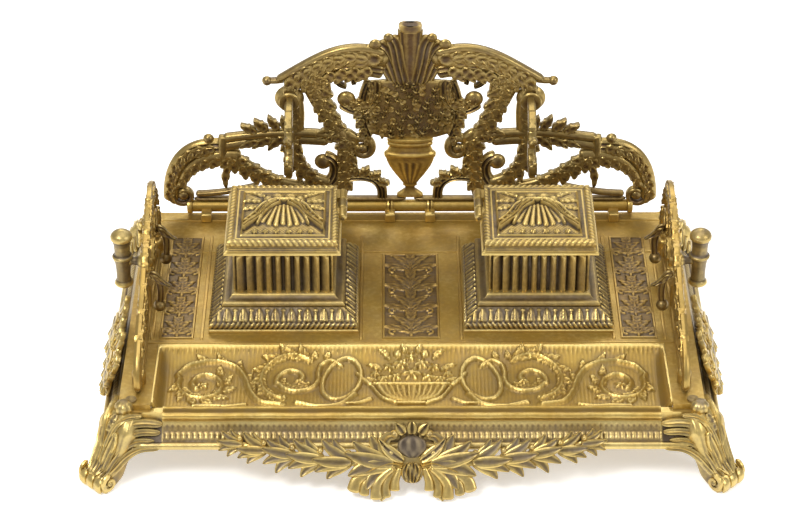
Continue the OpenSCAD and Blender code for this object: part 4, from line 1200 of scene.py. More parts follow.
class DESK_OT_gallery_scrollwork(DeskStandMaker, bpy.types.Operator):
    """The pierced gallery of scrolls and acanthus leaves"""

    bl_idname = "desk.gallery_scrollwork"
    bl_label = "Gallery scrollwork"

    def execute(self, context):
        on = gallery_surface()
        bm = bmesh.new()
        self.scrolls(bm, on)
        self.leaves(bm, on)
        mirror_across(bm)
        finish_piece("gallery_scrollwork", bm, "bronze_brown_brass", ["gallery_scrollwork"], passes=8,
                     depth=0.4)
        return {"FINISHED"}

    @staticmethod
    def scrolls(bm, on):
        full, thin = 2.6, 2.0
        flute = fluted(full, 1.5)
        for path, w0, w1, rise in (
                # the wing and its ball end, the stem beside the rest, and the curls inside
                (bezier((11, 136), (34, 142), (46, 133), (68, 125)), 8.2, 2.4, fluted(2.0, 3)),
                (bezier((14, 129), (30, 133.5), (44, 128), (60, 120)), 6.0, 4.6, fluted(2.0, 2)),
                (bezier((24, 130), (29, 128), (31, 125), (30, 121.5)), 3.4, 1.6, flute),
                (bezier((40, 128), (40, 122), (37, 121), (34, 120)), 3.0, 1.2, flute),
                (bezier((13, 140), (36, 149.5), (50, 137.5), (72, 124)), 2.8, 2.0, plain_rise(2.8)),
                (bezier((68, 124.6), (71, 123.6), (74, 123.6), (77, 123.8)), 1.9, 1.5, plain_rise(thin)),
                (bezier((55, 127), (49, 114), (46, 102), (34.5, 87)), 8.6, 5.6, fluted(full, 3.5)),
                (bezier((66, 122), (60, 113), (61, 98), (63, 88)), 6.2, 6.0, fluted(full, 3.5)),
                (bezier((19, 124), (17, 105), (28, 102), (37, 110.5)), 4.2, 4.0, flute),
                (bezier((22, 124), (27.5, 112), (27, 98), (22, 89)), 2.8, 3.4, flute),
                # the rails and the shoulder
                (bezier((40, 90), (60, 93.5), (80, 91.5), (102, 88.4)), 2.4, 2.5, plain_rise(2.7)),
                (bezier((44, 86), (68, 89), (88, 86), (104, 82.5)), 2.8, 3.0, plain_rise(2.1)),
                ([(101.5, 90), (102, 84), (102, 77)], 2.8, 2.8, plain_rise(full)),
                (bezier((102, 83), (118, 85), (131.6, 77), (131.4, 48.5)), 5.0, 4.8, flute),
                (bezier((92, 76.5), (110, 79), (121, 74), (126, 58)), 5.6, 4.0, fluted(full, 3.5)),
                (coil((124.5, 52.4), 7.2, 2.8, 90, -330, 36), 2.0, 1.4, plain_rise(full)),
                # the diagonal, the large lower curl and the ball curl inside it
                (bezier((58, 57.5), (74, 58), (86, 67), (99, 77)), 4.2, 6.4, fluted(full, 3.5)),
                (bezier((63, 90), (66, 76), (58, 61), (43, 60)), 6.2, 4.6, fluted(full, 3.5)),
                (bezier((45, 59), (38, 66), (40, 76), (47, 76.5)), 4.2, 3.8, flute),
                (bezier((38, 57.5), (52, 60.5), (66, 59), (84, 56)), 1.4, 1.4, plain_rise(thin)),
                (bezier((84, 58), (92, 56), (104, 53), (118, 53)), 1.7, 1.6, plain_rise(thin)),
                (bezier((58, 60), (62, 58), (66, 54), (67, 49)), 2.4, 2.2, plain_rise(thin)),
                # beside the urn
                (coil((26, 82), 6.8, 2.4, 60, 420, 30), 2.8, 2.0, plain_rise(full)),
                (bezier((30, 92), (38, 84), (32, 70), (40, 50)), 7.4, 6.0, fluted(full, 3.5)),
                (bezier((37, 63), (26, 66.5), (13, 64.5), (15.5, 49.5)), 4.0, 3.0, flute),
                ([(2, 49.9), (60, 49.9), (119, 49.9)], 1.1, 1.1, plain_rise(thin))):
            # the broad limbs are cut slimmer, so that the leaves on them make their outline
            slim = 0.74 if max(w0, w1) > 5.5 else 0.92
            strap(bm, on, path, taper(slim * w0, slim * w1), rise, 2.4, around=20, cell=0.8, ends=0.05)
        for x, z, r in ((124.5, 52.4, 3.4), (109.5, 88, 3.0), (76.8, 123.8, 2.8), (65, 113, 8.0),
                        (34.4, 112.4, 5.0), (47.5, 73.5, 4.8), (26, 82, 3.2)):
            knob(bm, on, (x, z), r, 2.9, around=24, rings=7)

    @staticmethod
    def leaves(bm, on):
        """Acanthus leaves that grow off the scrolls."""
        spill = 1.4
        cast = {"height": 2.0, "lobes": 3, "lift": 1.3, "back": 3.6, "around": 14, "cell": 0.8, "blunt": 0.75}
        for path, side, count, length, width, spread, first, last in (
                (bezier((13, 138), (36, 147), (50, 136), (70, 124.5)), -1, 8, 17, 7.6, 26, 0.02, 0.8),
                (bezier((16, 131), (30, 134), (44, 130), (58, 124)), -1, 6, 9, 6.5, 38, 0.1, 0.9),
                (bezier((55, 128), (46, 118), (49, 104), (34, 86)), 1, 6, 8, 6.0, 32, 0.05, 0.75),
                (bezier((55, 128), (46, 118), (49, 104), (34, 86)), -1, 5, 7.5, 5.6, 36, 0.05, 0.7),
                (bezier((67, 121), (58, 113), (60, 98), (63, 88)), 1, 4, 7, 5.5, 34, 0.3, 0.9),
                (bezier((19, 122), (17, 107), (28, 104), (37, 111.5)), 1, 3, 7, 5.4, 36, 0.4, 0.8),
                (bezier((22, 123), (27.5, 112), (27, 98), (22, 89)), 1, 5, 6.5, 5.0, 30, 0.3, 0.95),
                (bezier((104, 83), (119, 85), (134, 77), (133.5, 48)), -1, 8, 9, 5.6, 24, 0.04, 0.85),
                (bezier((94, 76), (110, 78), (124, 73), (127, 58)), -1, 6, 7, 5.4, 34, 0.05, 0.85),
                (bezier((100, 78), (86, 67), (74, 58), (58, 57.5)), 1, 6, 7.5, 5.4, 30, 0.05, 0.8),
                (bezier((100, 78), (86, 67), (74, 58), (58, 57.5)), -1, 4, 6.5, 4.8, 30, 0.1, 0.6),
                (bezier((63, 90), (66, 76), (58, 61), (43, 61)), 1, 6, 7.5, 5.6, 32, 0.05, 0.8),
                (bezier((63, 90), (66, 76), (58, 61), (43, 61)), -1, 4, 6.5, 5.0, 34, 0.1, 0.6),
                (bezier((30, 91), (38, 84), (29, 70), (39, 50)), 1, 6, 7.5, 5.6, 30, 0.1, 0.85),
                (bezier((30, 91), (38, 84), (29, 70), (39, 50)), -1, 4, 6.5, 5.2, 32, 0.1, 0.7),
                (bezier((35, 64), (26, 67), (13, 65), (15, 49.5)), -1, 4, 6, 4.6, 34, 0.05, 0.6)):
            leafage(bm, on, path, side, count, spill * length, spill * width, spread + 8, first, last, **cast)
        for x, z, angle, length, wide, bend in (
                (66, 94, 66, 9, 6, -0.1), (71, 94.5, 52, 10, 6, -0.1), (77, 94, 38, 10, 6, -0.1),
                (83, 93, 24, 10, 5.5, -0.1), (68, 90, -42, 13, 6, 0.1), (75, 89, -30, 13, 6, 0.1),
                (82, 87, -20, 12, 5.5, 0.1), (99, 72, -84, 15, 5.5, 0.2), (46, 88, 176, 12, 6, -0.1),
                (52, 90, 166, 12, 6, -0.15), (48, 126, -118, 10, 6, -0.2)):
            leaf(bm, on, (x, z), angle, length, wide, bend=bend, **cast)


class DESK_OT_gallery_urn(DeskStandMaker, bpy.types.Operator):
    """The urn and the dark field of flowers behind it"""

    bl_idname = "desk.gallery_urn"
    bl_label = "Gallery urn"

    def execute(self, context):
        on = gallery_surface()
        bm = bmesh.new()
        field = np.array([(0.0, 12), (0.08, 21), (0.3, 24), (0.5, 24.5), (0.75, 24), (0.92, 22), (1.0, 19)])
        strap(bm, on, [(0, 88), (0, 106), (0, 124)], lambda t: np.interp(t, field[:, 0], field[:, 1]),
              plain_rise(0.8), 3.0, around=24, ends=0.02)
        self.flowers(bm, on)
        finish_piece("flower_field", bm, "bronze_brown_brass", passes=8, depth=0.3)
        bm = bmesh.new()
        urn = np.array([(51.2, 7.2), (52.6, 7.2), (53.6, 6.0), (55.8, 2.9), (57.4, 2.4), (58.6, 4.0),
                        (59.6, 3.6), (62, 5.4), (65, 7.6), (68, 9.6), (71, 11.4), (74.5, 12.9), (76.6, 13.4),
                        (77, 14.2), (79.4, 14.2), (80, 12.8), (82, 11.8), (83.6, 11.2), (84.4, 12.4),
                        (85.6, 12.4), (86, 11.4), (87, 12.6), (88.4, 12.4), (89, 8)])

        def rise(s, t):
            z = 51.2 + t * 37.8
            belly = np.interp(z, urn[:, 0], urn[:, 1])
            ribs = np.where((z > 60) & (z < 74), 0.1 * np.cos(9 * np.arcsin(np.clip(s, -1, 1)) * 2), 0)
            band = np.where((z > 77.8) & (z < 80), 0.12, 0)
            return belly * (0.27 + 0.35 * ribs + 0.3 * band) * np.maximum(1 - s * s, 0) ** 0.12

        strap(bm, on, [(0, 51.2), (0, 70), (0, 89)],
              lambda t: np.interp(51.2 + t * 37.8, urn[:, 0], urn[:, 1]), rise, 3.0, around=40, cell=0.5,
              ends=0.01)
        finish_piece("gallery_urn", bm, "bronze_brown_brass", ["gallery_urn"], passes=8, depth=0.3,
                     finish=shaded("urn_brass", (134, 108, 52), (214, 188, 112), (60, 44, 26)))
        return {"FINISHED"}

    @staticmethod
    def flowers(bm, on):
        for k in range(64):
            a = math.radians(k * 137.5)
            r = 3.05 * math.sqrt(k + 0.5)
            x, z = r * math.cos(a), 105.5 + 0.7 * r * math.sin(a)
            if k % 3:
                knob(bm, on, (x, z), 2.7, 2.4, 5 + k % 2, around=24, rings=5, notch=0.45, base=0.4)
                knob(bm, on, (x, z), 0.9, 0.9, around=8, rings=3, base=2.3)
            else:
                leaf(bm, on, (x, z), math.degrees(a) + 50, 6.5, 4.4, 1.5, bend=0.15, lobes=2, lift=0.7,
                     around=10)
        for side in (-1, 1):
            for k in range(6):
                leaf(bm, on, (side * 19, 92 + 5 * k), 90 - side * 35, 8, 5.0, 1.4, bend=0.15 * side, lobes=2,
                     lift=0.9, around=10)


class DESK_OT_plume_finial(DeskStandMaker, bpy.types.Operator):
    """The plume of leaves at the top of the gallery"""

    bl_idname = "desk.plume_finial"
    bl_label = "Plume finial"

    def execute(self, context):
        on = gallery_surface()
        lo, hi = box_mm("plume_finial")
        top = hi[2]
        bm = bmesh.new()
        for path, w0, w1, lift, tip in (([(7, 122), (12, 131), (17, 140), (21.5, 144)], 4.4, 3.4, -0.8, 2.4),
                                        ([(5, 122), (9, 133), (13, 142), (18, 146.5)], 4.6, 4.2, 0.0, 3.4),
                                        ([(3, 121), (6, 134), (8, 145), (11, 151)], 4.2, 4.4, 0.6, 2.8)):
            strap(bm, on, route(path), taper(w0, w1), fluted(2.0, 1.5), 2.4,
                  lambda t, lift=lift: lift + 0 * t, around=24, cell=0.7, ends=0.12)
            knob(bm, on, (path[-1][0] + 0.6, path[-1][1] - 0.4), tip, 1.6, around=20, base=1.2 + lift)
        mirror_across(bm)
        strap(bm, on, [(0, 120.5), (0, 138), (0, top - 2.6)], lambda t: 4.2 + 2.8 * t, fluted(2.6, 2.5), 3.0,
              around=30, cell=0.7, ends=0.06)
        knob(bm, on, (0, 122.5), 3.4, 2.9, petals=6, around=30)
        lo_y, hi_y = lo[1] + 0.2, hi[1] - 0.2
        turned(bm, (0, (lo_y + hi_y) / 2, top - 4.6), (0, 0, 1),
               [(0, 0), (4.4, 0.1), (5.6, 0.8), (6.2, 2.0), (6.4, 3.2), (6.1, 4.2), (5.0, 4.55), (3.4, 4.0),
                (0, 3.6)],
               around=36)
        for vert in bm.verts:
            vert.co.y = min(max(vert.co.y, lo_y * MM), hi_y * MM)
        finish_piece("plume_finial", bm, "bronze_brown_brass", ["plume_finial"], passes=8, depth=0.3)
        return {"FINISHED"}


class DESK_OT_pen_rests(DeskStandMaker, bpy.types.Operator):
    """The two hooked arms that pens lie across"""

    bl_idname = "desk.pen_rests"
    bl_label = "Pen rests"

    def execute(self, context):
        for name in SIDES:
            lo, hi = box_mm(name + "_pen_rest")
            middle, front = abs(lo[0] + hi[0]) / 2, hi[1]
            on = flat((middle, 0, 0), (0, 1, 0), (0, 0, 1))
            bm = bmesh.new()
            rise = fluted(2.3, 1.0)
            for path, w0, w1 in (
                    (bezier((front - 1.5, 113), (84, 116.5), (76, 112), (74, 103)), 3.0, 2.6),
                    (bezier((74, 105.5), (72, 98), (66, 97), (62.6, 104.5)), 2.5, 1.6),
                    (bezier((76, 105), (78, 92), (68, 84), (60, 86)), 2.6, 2.0),
                    (bezier((61.5, 86), (56, 86), (55, 90), (56, 94.5)), 2.0, 1.4)):
                strap(bm, on, path, taper(w0, w1), rise, 2.3, around=16, cell=0.8)
            for y, z, r in ((62.6, 105, 2.2), (56, 94.6, 1.9)):
                knob(bm, on, (y, z), r, 2.4)
            for y, z, angle, length in ((80, 114, 205, 12), (77, 106, 250, 13), (72, 92, 220, 10)):
                leaf(bm, on, (y, z), angle, length, 5, 2.2, bend=0.15, lobes=3, lift=0.2, back=2.3)
            turned(bm, (middle, front - 3.2, 113), (0, 1, 0),
                   [(0, 0), (5.2, 0.1), (5.8, 0.8), (5.4, 1.6), (4.6, 2.0), (4.6, 3.1), (0, 3.2)], around=36)
            finish_side(name, "pen_rest", bm, "bronze_brown_brass", passes=8, depth=0.3)
        return {"FINISHED"}


# ---------------------------------------------------------------- sides


class DESK_OT_side_panels(DeskStandMaker, bpy.types.Operator):
    """The pierced side panels"""

    bl_idname = "desk.side_panels"
    bl_label = "Side panels"

    def execute(self, context):
        for name in SIDES:
            lo, hi = box_mm(name + "_side_panel")
            middle = abs(lo[0] + hi[0]) / 2
            on = flat((middle, 0, 0), (0, 1, 0), (0, 0, 1))
            bm = bmesh.new()
            flute, plain = fluted(2.0, 1.5), plain_rise(1.9)
            dark = shaded("side_brass", (86, 68, 42), (172, 148, 88), (44, 34, 22))
            for path, w0, w1, rise in (
                    (bezier((-76, 42), (-76, 58), (-60, 60), (-44, 66)), 2.5, 2.6, flute),
                    (bezier((-46, 66), (-20, 70), (0, 86), (26, 89)), 2.6, 3.2, fluted(2.0, 2)),
                    (bezier((24, 89), (44, 94), (58, 84), (54, 70)), 3.2, 2.5, fluted(2.0, 2)),
                    (coil((46, 68), 9, 3.2, 10, -310, 36), 2.3, 1.5, plain),
                    (bezier((56, 66), (66, 58), (66, 50), (60, 42)), 2.6, 2.4, flute),
                    ([(-77, 41.6), (0, 41.6), (69, 41.6)], 1.4, 1.4, plain),
                    (bezier((-46, 64), (-56, 54), (-44, 44), (-34, 50)), 2.3, 1.8, flute),
                    (coil((-33, 56), 6.5, 2.8, 260, 530, 30), 1.8, 1.3, plain),
                    (bezier((-30, 48), (-20, 42), (-14, 56), (-13, 71)), 2.0, 2.5, flute),
                    (bezier((-13, 72), (-4, 56), (10, 46), (20, 50)), 2.3, 1.8, flute),
                    (coil((20, 57), 7, 2.8, 270, 570, 30), 1.9, 1.3, plain),
                    (bezier((26, 54), (30, 60), (34, 66), (38, 73)), 2.0, 2.0, flute),
                    (bezier((32, 73), (34, 80), (32, 84), (32, 88)), 2.5, 2.0, flute),
                    (bezier((30, 50), (40, 56), (44, 50), (48, 42)), 2.0, 2.0, flute),
                    ([(0, 41), (0, 50), (0, 60)], 2.2, 2.0, plain),
                    ([(-11, 70), (0, 70.4), (9, 70)], 2.6, 2.6, plain)):
                strap(bm, on, path, taper(w0, w1), rise, 1.9, around=14, cell=0.9, ends=0.05)
            for y, z, r in ((46, 68, 2.6), (-33, 56, 2.2), (20, 57, 2.4), (0, 70, 4.4)):
                knob(bm, on, (y, z), r, 2.2, around=20)
            for y, z, angle, length, wide, bend in (
                    (-70, 52, 50, 16, 7, -0.2), (-58, 60, 20, 17, 7, -0.15), (-44, 66, 14, 17, 7, -0.1),
                    (-28, 70, 24, 17, 7, -0.1), (-12, 77, 30, 17, 7, -0.1), (4, 84, 20, 17, 7, -0.1),
                    (20, 88, 2, 16, 7, 0.15), (36, 90, -24, 16, 7, 0.2), (48, 84, -60, 15, 6.5, 0.2),
                    (58, 62, -80, 14, 6, -0.15), (-40, 52, 200, 11, 5, 0.2), (-24, 48, 60, 12, 5, 0.2),
                    (-10, 66, -60, 13, 6, 0.2), (8, 50, 150, 12, 5, 0.2), (30, 62, 60, 12, 5, 0.2),
                    (28, 78, 250, 12, 5.5, 0.15), (40, 50, 160, 10, 5, -0.15), (-74, 44, 20, 13, 5.5, 0.2)):
                leaf(bm, on, (y, z), angle, length, wide, 1.5, bend=bend, lobes=4, lift=0.6, back=2.4,
                     around=10, cell=1.0)
            inward = flat((middle, 0, 0), (0, -1, 0), (0, 0, 1))
            for y, z, angle, length, wide in ((-66, 54, 30, 20, 9), (-50, 62, 14, 20, 9),
                                              (-34, 67, 14, 20, 9), (-18, 74, 28, 20, 9), (-2, 80, 22, 20, 9),
                                              (14, 86, 6, 20, 9), (32, 89, -20, 18, 9), (46, 84, -55, 18, 8),
                                              (56, 68, -80, 17, 8), (-30, 58, 160, 12, 7),
                                              (18, 58, 60, 13, 7), (30, 66, 70, 14, 7)):
                leaf(bm, inward, (-y, z), 180 - angle, length, wide, 2.6, bend=-0.12, lobes=4, lift=0.8,
                     back=2.0, around=12, cell=1.0, blunt=0.8)
            for y in (-66, 58):
                turned(bm, (middle, y, 40), (0, 0, 1),
                       [(0, 0), (3.6, 0.05), (3.6, 5.4), (3.2, 6.4), (2.4, 7), (0, 7)],
                       around=28)
            finish_side(name, "side_panel", bm, "bronze_brown_brass", passes=8, depth=0.3, finish=dark)
        return {"FINISHED"}


class DESK_OT_side_finials(DeskStandMaker, bpy.types.Operator):
    """The turned finials that stand off the side panels"""

    bl_idname = "desk.side_finials"
    bl_label = "Side finials"

    def execute(self, context):
        for name in SIDES:
            lo, hi = box_mm(name + "_side_finial")
            inner, outer = sorted((abs(lo[0]), abs(hi[0])))
            x, low = outer - 5.8, lo[2]
            profile = joined(
                [(0, 0), (3.8, 0.02), (4.4, 0.4), (4.9, 1.2), (4.7, 2.4), (3.9, 3.2), (3.7, 3.6)],
                bezier((3.7, 3.8), (3.5, 9), (3.7, 12), (4.4, 15.8), 10), arc((4.3, 17.4), 1.1, -80, 80, 8),
                [(4.1, 19.0), (4.1, 22), (4.3, 25), (4.8, 27.2), (5.6, 28.1)],
                bezier((5.7, 28.9), (6.0, 31), (3.6, 33.0), (0, 33.5), 10))
            bm = bmesh.new()
            turned(bm, (x, 0, low), (0, 0, 1), profile, around=48)
            turned(bm, (inner, 0, low + 14.5), (1, 0, 0),
                   [(0, 0), (1.5, 0.02), (1.5, 4.6), (3.2, 4.8), (3.6, 5.6), (3.2, 6.5), (2.2, 8), (2.0, 10),
                    (2.4, 12.5), (0, 13)], around=32)
            finish_side(name, "side_finial", bm, "old_gold_brass", passes=3, depth=0.2)
        return {"FINISHED"}


class DESK_OT_pen_hooks(DeskStandMaker, bpy.types.Operator):
    """The ball-ended hooks inside the side panels"""

    bl_idname = "desk.pen_hooks"
    bl_label = "Pen hooks"

    def execute(self, context):
        for name in SIDES:
            lo, hi = box_mm(name + "_pen_hooks")
            inner, outer = sorted((abs(lo[0]), abs(hi[0])))
            ball = inner + 3.2
            bm = bmesh.new()
            for y in (-13, 32):
                on = flat((0, y, 0), (1, 0, 0), (0, 0, 1))
                strap(bm, on, bezier((outer - 0.4, 70), (ball - 1, 70), (ball - 2, 62), (ball, 51)),
                      taper(2.3, 1.5), fluted(1.5, 1), 1.5, around=14, cell=0.7)
                leaf(bm, on, (outer - 2, 70), 215, 12, 4.4, 1.4, bend=0.2, lobes=3, lift=0.4, back=1.6)
                turned(bm, (ball, y, 47.8), (0, 0, 1), arc((0, 3.2), 3.2, -90, 90, 18), around=30)
            finish_side(name, "pen_hooks", bm, "bronze_brown_brass", passes=3, depth=0.2)
        return {"FINISHED"}


# ---------------------------------------------------------------- inkwells


def well_middle():
    """Middle of the right-hand well."""
    lo, hi = box_mm("right_well_base")
    return (lo[0] + hi[0]) / 2, (lo[1] + hi[1]) / 2


def hinge_line():
    """The right-hand hinge: x and z of its pin, and the two ends of the pin along Y."""
    lo, hi = box_mm("right_hinge_pin")
    return (lo[0] + hi[0]) / 2, (lo[2] + hi[2]) / 2, lo[1], hi[1]


def knuckle(bm, x, y, z):
    """One turned knuckle of a hinge, from y along its pin."""
    end = [(0, 0), (1.9, 0.02), (2.3, 0.3), (2.35, 0.7)]
    turned(bm, (x, y, z), (0, 1, 0), end + [(r, KNUCKLE - a) for r, a in reversed(end)], around=32)


class DESK_OT_well_bases(DeskStandMaker, bpy.types.Operator):
    """The moulded bases of the wells, with a band of leaf tips"""

    bl_idname = "desk.well_bases"
    bl_label = "Well bases"

    def execute(self, context):
        lo, hi = box_mm("right_well_base")
        wide = (hi[0] - lo[0]) / 2
        slope = dense([(36.6, 45.6), (36.1, 46.4), (31.6, 50.6)], 0.35)
        section = joined([(wide - 1, 40), (wide, 40.1), (wide, 41.3), (wide - 0.4, 41.5), (37.9, 41.9)],
                         arc((36.6, 43.7), 1.8, -70, 70, 12), slope, [(31.2, 51.0)],
                         arc((30, 52.5), 1.7, -60, 95, 14), arc((29.4, 57.2), 3.0, 262, 205, 8),
                         [(25.8, 56.4), (25.0, 56.6)])
        rope = (5, 18)
        band = (18, 18 + len(slope))

        def pattern(q, share, k):
            twist = 0.35 * np.sin(2 * np.pi * q / 2.6 + 0.5 * k) * ((k > rope[0]) & (k < rope[1]))
            twist = twist * np.clip((1 - np.abs(share)) * 20, 0, 1)
            t = np.clip((k - band[0]) / (band[1] - band[0] - 1), 0, 1)
            pitch = 66 / 8
            near = np.abs(((q / pitch) % 1) - 0.5) * 2
            big = np.clip(1 - near / (0.72 * np.sqrt(np.clip(1 - t, 0, 1)) + 0.02), 0, 1) ** 0.5
            vein = 0.55 + 0.45 * np.abs(np.cos(2.5 * np.pi * near))
            reach = 0.34 * np.sqrt(np.clip(1 - t * 1.25, 0, 1)) + 0.02
            small = np.clip(1 - (1 - near) / reach, 0, 1) ** 0.5
            dots = 0.7 * np.clip(1 - ((1 - near) ** 2 * 8 + (t - 0.84) ** 2 * 40), 0, 1)
            inside = (k >= band[0]) & (k < band[1])
            return twist + 1.15 * np.maximum(np.maximum(big * vein, 0.85 * small), dots) * inside * (t < 0.99)

        for name in SIDES:
            bm = bmesh.new()
            square_band(bm, well_middle(), section, pattern, cell=0.55)
            finish_side(name, "well_base", bm, "well_brass", passes=8, depth=0.22)
        return {"FINISHED"}


class DESK_OT_well_bodies(DeskStandMaker, bpy.types.Operator):
    """The reeded bodies of the wells and the fixed knuckle of each hinge"""

    bl_idname = "desk.well_bodies"
    bl_label = "Well bodies"

    def execute(self, context):
        hinge_x, hinge_z, pin_start, _ = hinge_line()
        centre = well_middle()
        top = 81.5
        wide, reeds, pitch = 24.0, 10, 4.8
        z = np.concatenate([[55.0, 55.4, 55.9], [56.5, 57.2], np.linspace(58, 77, 6), [78.2, 79.0, 79.5]])
        swell = np.interp(z, [55, 55.4, 57.0, 78, 79.0, 79.5], [0.0, 0.3, 1, 1, 0.6, 0.0])
        ring = [(wide, z_) for z_ in z] + [(20.9, 79.5), (20.8, 78.5), (20.8, 70), (20.8, 60.6)]

        def reed(q, _, k):
            grow = np.interp(k, range(len(z)), swell)
            across = ((q / pitch) % 1) * 2 - 1
            rounded = np.sqrt(np.clip(1 - (across / 0.7) ** 2, 0, 1))
            on_face = np.abs(q) < 0.5 * reeds * pitch - 0.05
            return 1.9 * grow * rounded * on_face - 0.9 * (1 - rounded) * grow

        for name in SIDES:
            bm = bmesh.new()
            square_band(bm, centre, ring, reed, cell=0.35)
            self.top_plate(bm, centre, top)
            y = pin_start + KNUCKLE + 0.6
            knuckle(bm, hinge_x, y, hinge_z)
            block(bm, (4.4, 8.2, 3.4), (hinge_x + 2.2, y + KNUCKLE / 2, hinge_z - 2.3))
            finish_side(name, "well_body", bm, "well_brass", passes=6, depth=0.35)
        return {"FINISHED"}

    @staticmethod
    def top_plate(bm, centre, top):
        """The square plate over the reeds, with the round mouth for the liner."""
        def place(u, v):
            a = 2 * np.pi * u
            half = 26.0
            reach = half / np.maximum(np.abs(np.cos(a)), np.abs(np.sin(a)))
            hole = 20.4
            k = v * 8
            r = np.interp(k, range(9), [0, 0, 0.02, 1, 1, 0.98, 0, 0, 0])
            z = top - np.interp(k, range(9), [2, 0.2, 0, 0, 0.4, 1.6, 2, 2, 2])
            radius = hole + r * (reach - hole)
            radius = np.where((k > 5.5) & (k < 7.5), hole, radius)
            return np.stack([centre[0] + radius * np.cos(a), centre[1] + radius * np.sin(a), z], 1)

        bent_grid(bm, 96, 8, place)


class DESK_OT_ink_liners(DeskStandMaker, bpy.types.Operator):
    """The pressed glass liners inside the wells"""

    bl_idname = "desk.ink_liners"
    bl_label = "Ink liners"

    def execute(self, context):
        lo, hi = box_mm("right_ink_liner")
        rim, low, top = (hi[0] - lo[0]) / 2, lo[2], hi[2]
        r = rim - 1.6
        profile = [(0, 0), (r - 2.4, 0), (r - 0.8, 0.5), (r - 0.2, 1.4), (r, 2.4), (r, top - low - 1.8),
                   (rim - 0.3, top - low - 1.7), (rim, top - low - 1.3), (rim, top - low - 0.7),
                   (rim - 0.5, top - low - 0.2), (r - 0.6, top - low), (r - 1.7, top - low - 0.2),
                   (r - 2.3, top - low - 0.8), (r - 2.4, 4.4), (r - 3.0, 3.2), (r - 4.2, 2.5), (0, 2.4)]
        for name in SIDES:
            bm = bmesh.new()
            turned(bm, (*well_middle(), low), (0, 0, 1), profile, around=64)
            finish_side(name, "ink_liner", bm, "ink_glass", sharp=60, finish=glass())
        return {"FINISHED"}


class DESK_OT_lids(DeskStandMaker, bpy.types.Operator):
    """The square lids with their fan of leaves, roped border and hinge knuckles"""

    bl_idname = "desk.lids"
    bl_label = "Lids"

    def execute(self, context):
        hinge_x, hinge_z, pin_start, pin_end = hinge_line()
        centre = well_middle()
        low, top = 81.7, box_mm("right_lid")[1][2]
        relief = context.scene.desk_shape.lid_relief / MM
        section = joined([(24, 85.1), (24, low + 0.1), (24.3, low), (29.7, low), (30, low + 0.2), (30, 83.0),
                          (29.8, 83.3), (29.2, 83.5)], arc((30.6, 85.6), 2.4, 235, 150, 10),
                         arc((26.7, 87.6), 1.8, 0, 140, 14), [(24.6, 88.5)])
        cove, rope = (7, 18), (18, 33)

        def pattern(q, share, k):
            twist = 0.24 * np.sin(2 * np.pi * q / 3.0 - 0.42 * k) * ((k > rope[0]) & (k < rope[1] - 1))
            rings = 0.14 * np.cos(2 * np.pi * k / 3) * ((k > cove[0]) & (k < cove[1] - 1))
            return (twist + rings) * np.clip((1 - np.abs(share)) * 18, 0, 1)

        def clear_of_hinge(x, y):
            """Cuts the lid's edge back where the knuckles are."""
            edge = hinge_x - centre[0] + 2.4 + 0.9
            beside = (y + centre[1] > pin_start - 0.3) & (y + centre[1] < pin_end + 0.3) & (x < edge)
            return np.where(beside, edge, x), y

        def crown(x, y):
            x, y = x - centre[0], y - centre[1]
            inset = 24.9 - np.maximum(np.abs(x), np.abs(y))
            base = 88.2 + 3.0 * (1 - np.exp(-np.clip(inset - 3.2, 0, 30) / 9.0))
            r = Relief(np.abs(x), y)
            self.fan(r, relief)
            frame_ledge = (1.1 * np.exp(-((inset - 3.6) / 0.55) ** 2)
                           + 0.5 * np.exp(-((inset - 1.0) / 0.7) ** 2))
            stipple = 0.12 * np.sin(2 * np.pi * x / 1.7) * np.sin(2 * np.pi * y / 1.7)
            return np.minimum(base + frame_ledge + stipple * (inset > 4.4) + r.high * (inset > 3.9),
                              top - 0.02)

        for name in SIDES:
            bm = bmesh.new()
            square_band(bm, centre, section, pattern, cell=0.5, clamp=clear_of_hinge)
            close_holes(bm)
            slab(bm, centre[0] - 24.9, centre[0] + 24.9, centre[1] - 24.9, centre[1] + 24.9, 0.4, crown, 87.9)
            for y in (pin_start, pin_end - KNUCKLE):
                knuckle(bm, hinge_x, y, hinge_z)
                block(bm, (3.6, 8.4, 1.5), (hinge_x + 1.8, y + KNUCKLE / 2, hinge_z + 0.8))
            finish_side(name, "lid", bm, "lid_brass", body=name + "_lid", passes=10, depth=0.25)
        return {"FINISHED"}

    @staticmethod
    def fan(r, high):
        """Half of the fan: ribs that hang from a crest, beside a swept curtain of leaves."""
        for k, (angle, reach) in enumerate(((-90, 15.5), (-84, 16), (-77, 15), (-68, 13))):
            a = math.radians(angle)
            start = (1.9 * k, 3.2 - 0.5 * k)
            r.stroke(route([start, (start[0] + reach * math.cos(a), start[1] + reach * math.sin(a))]), 1.0,
                     1.5, (0.72 - 0.08 * k) * high)
        curtain = route([(4.0, 6.5), (8.5, 1.5), (12.5, -6), (20.5, -14.5)])
        r.stroke(curtain, 2.9, 1.9, 1.55 * high, flutes=1.5)
        r.stroke(route([(4.5, 9.5), (11, 5), (15.5, -3), (21, -9.5)]), 1.2, 0.7, 1.05 * high)
        r.stroke(route([(7.5, 3), (10.5, -5), (13, -12.5)]), 1.4, 0.9, high)
        r.foliage(curtain, 1, 7, 7.5, 4.4, 0.9 * high, spread=46, shrink=0.35)
        r.dome((3.4, 12.6), 3.6, 1.3 * high)
        r.dome((8.2, 10.4), 2.7, 1.1 * high)
        r.stroke(route([(0, 8.6), (4.5, 8.4), (8, 6.2)]), 1.5, 1.1, 1.35 * high)
        r.stroke(route([(1.6, 13), (1.2, 9)]), 0.9, 0.8, 0.9 * high)
        for x, y, angle, length in ((10, 14, 30, 10), (12, 9, 12, 10), (14, 4, -6, 8)):
            r.leaf((x, y), angle, length, 4.4, 0.7 * high, bend=0.12)
        for x in (3.2, 8.8, 14.4):
            r.dome((x, -18.6), 1.6, 0.7 * high, 5)


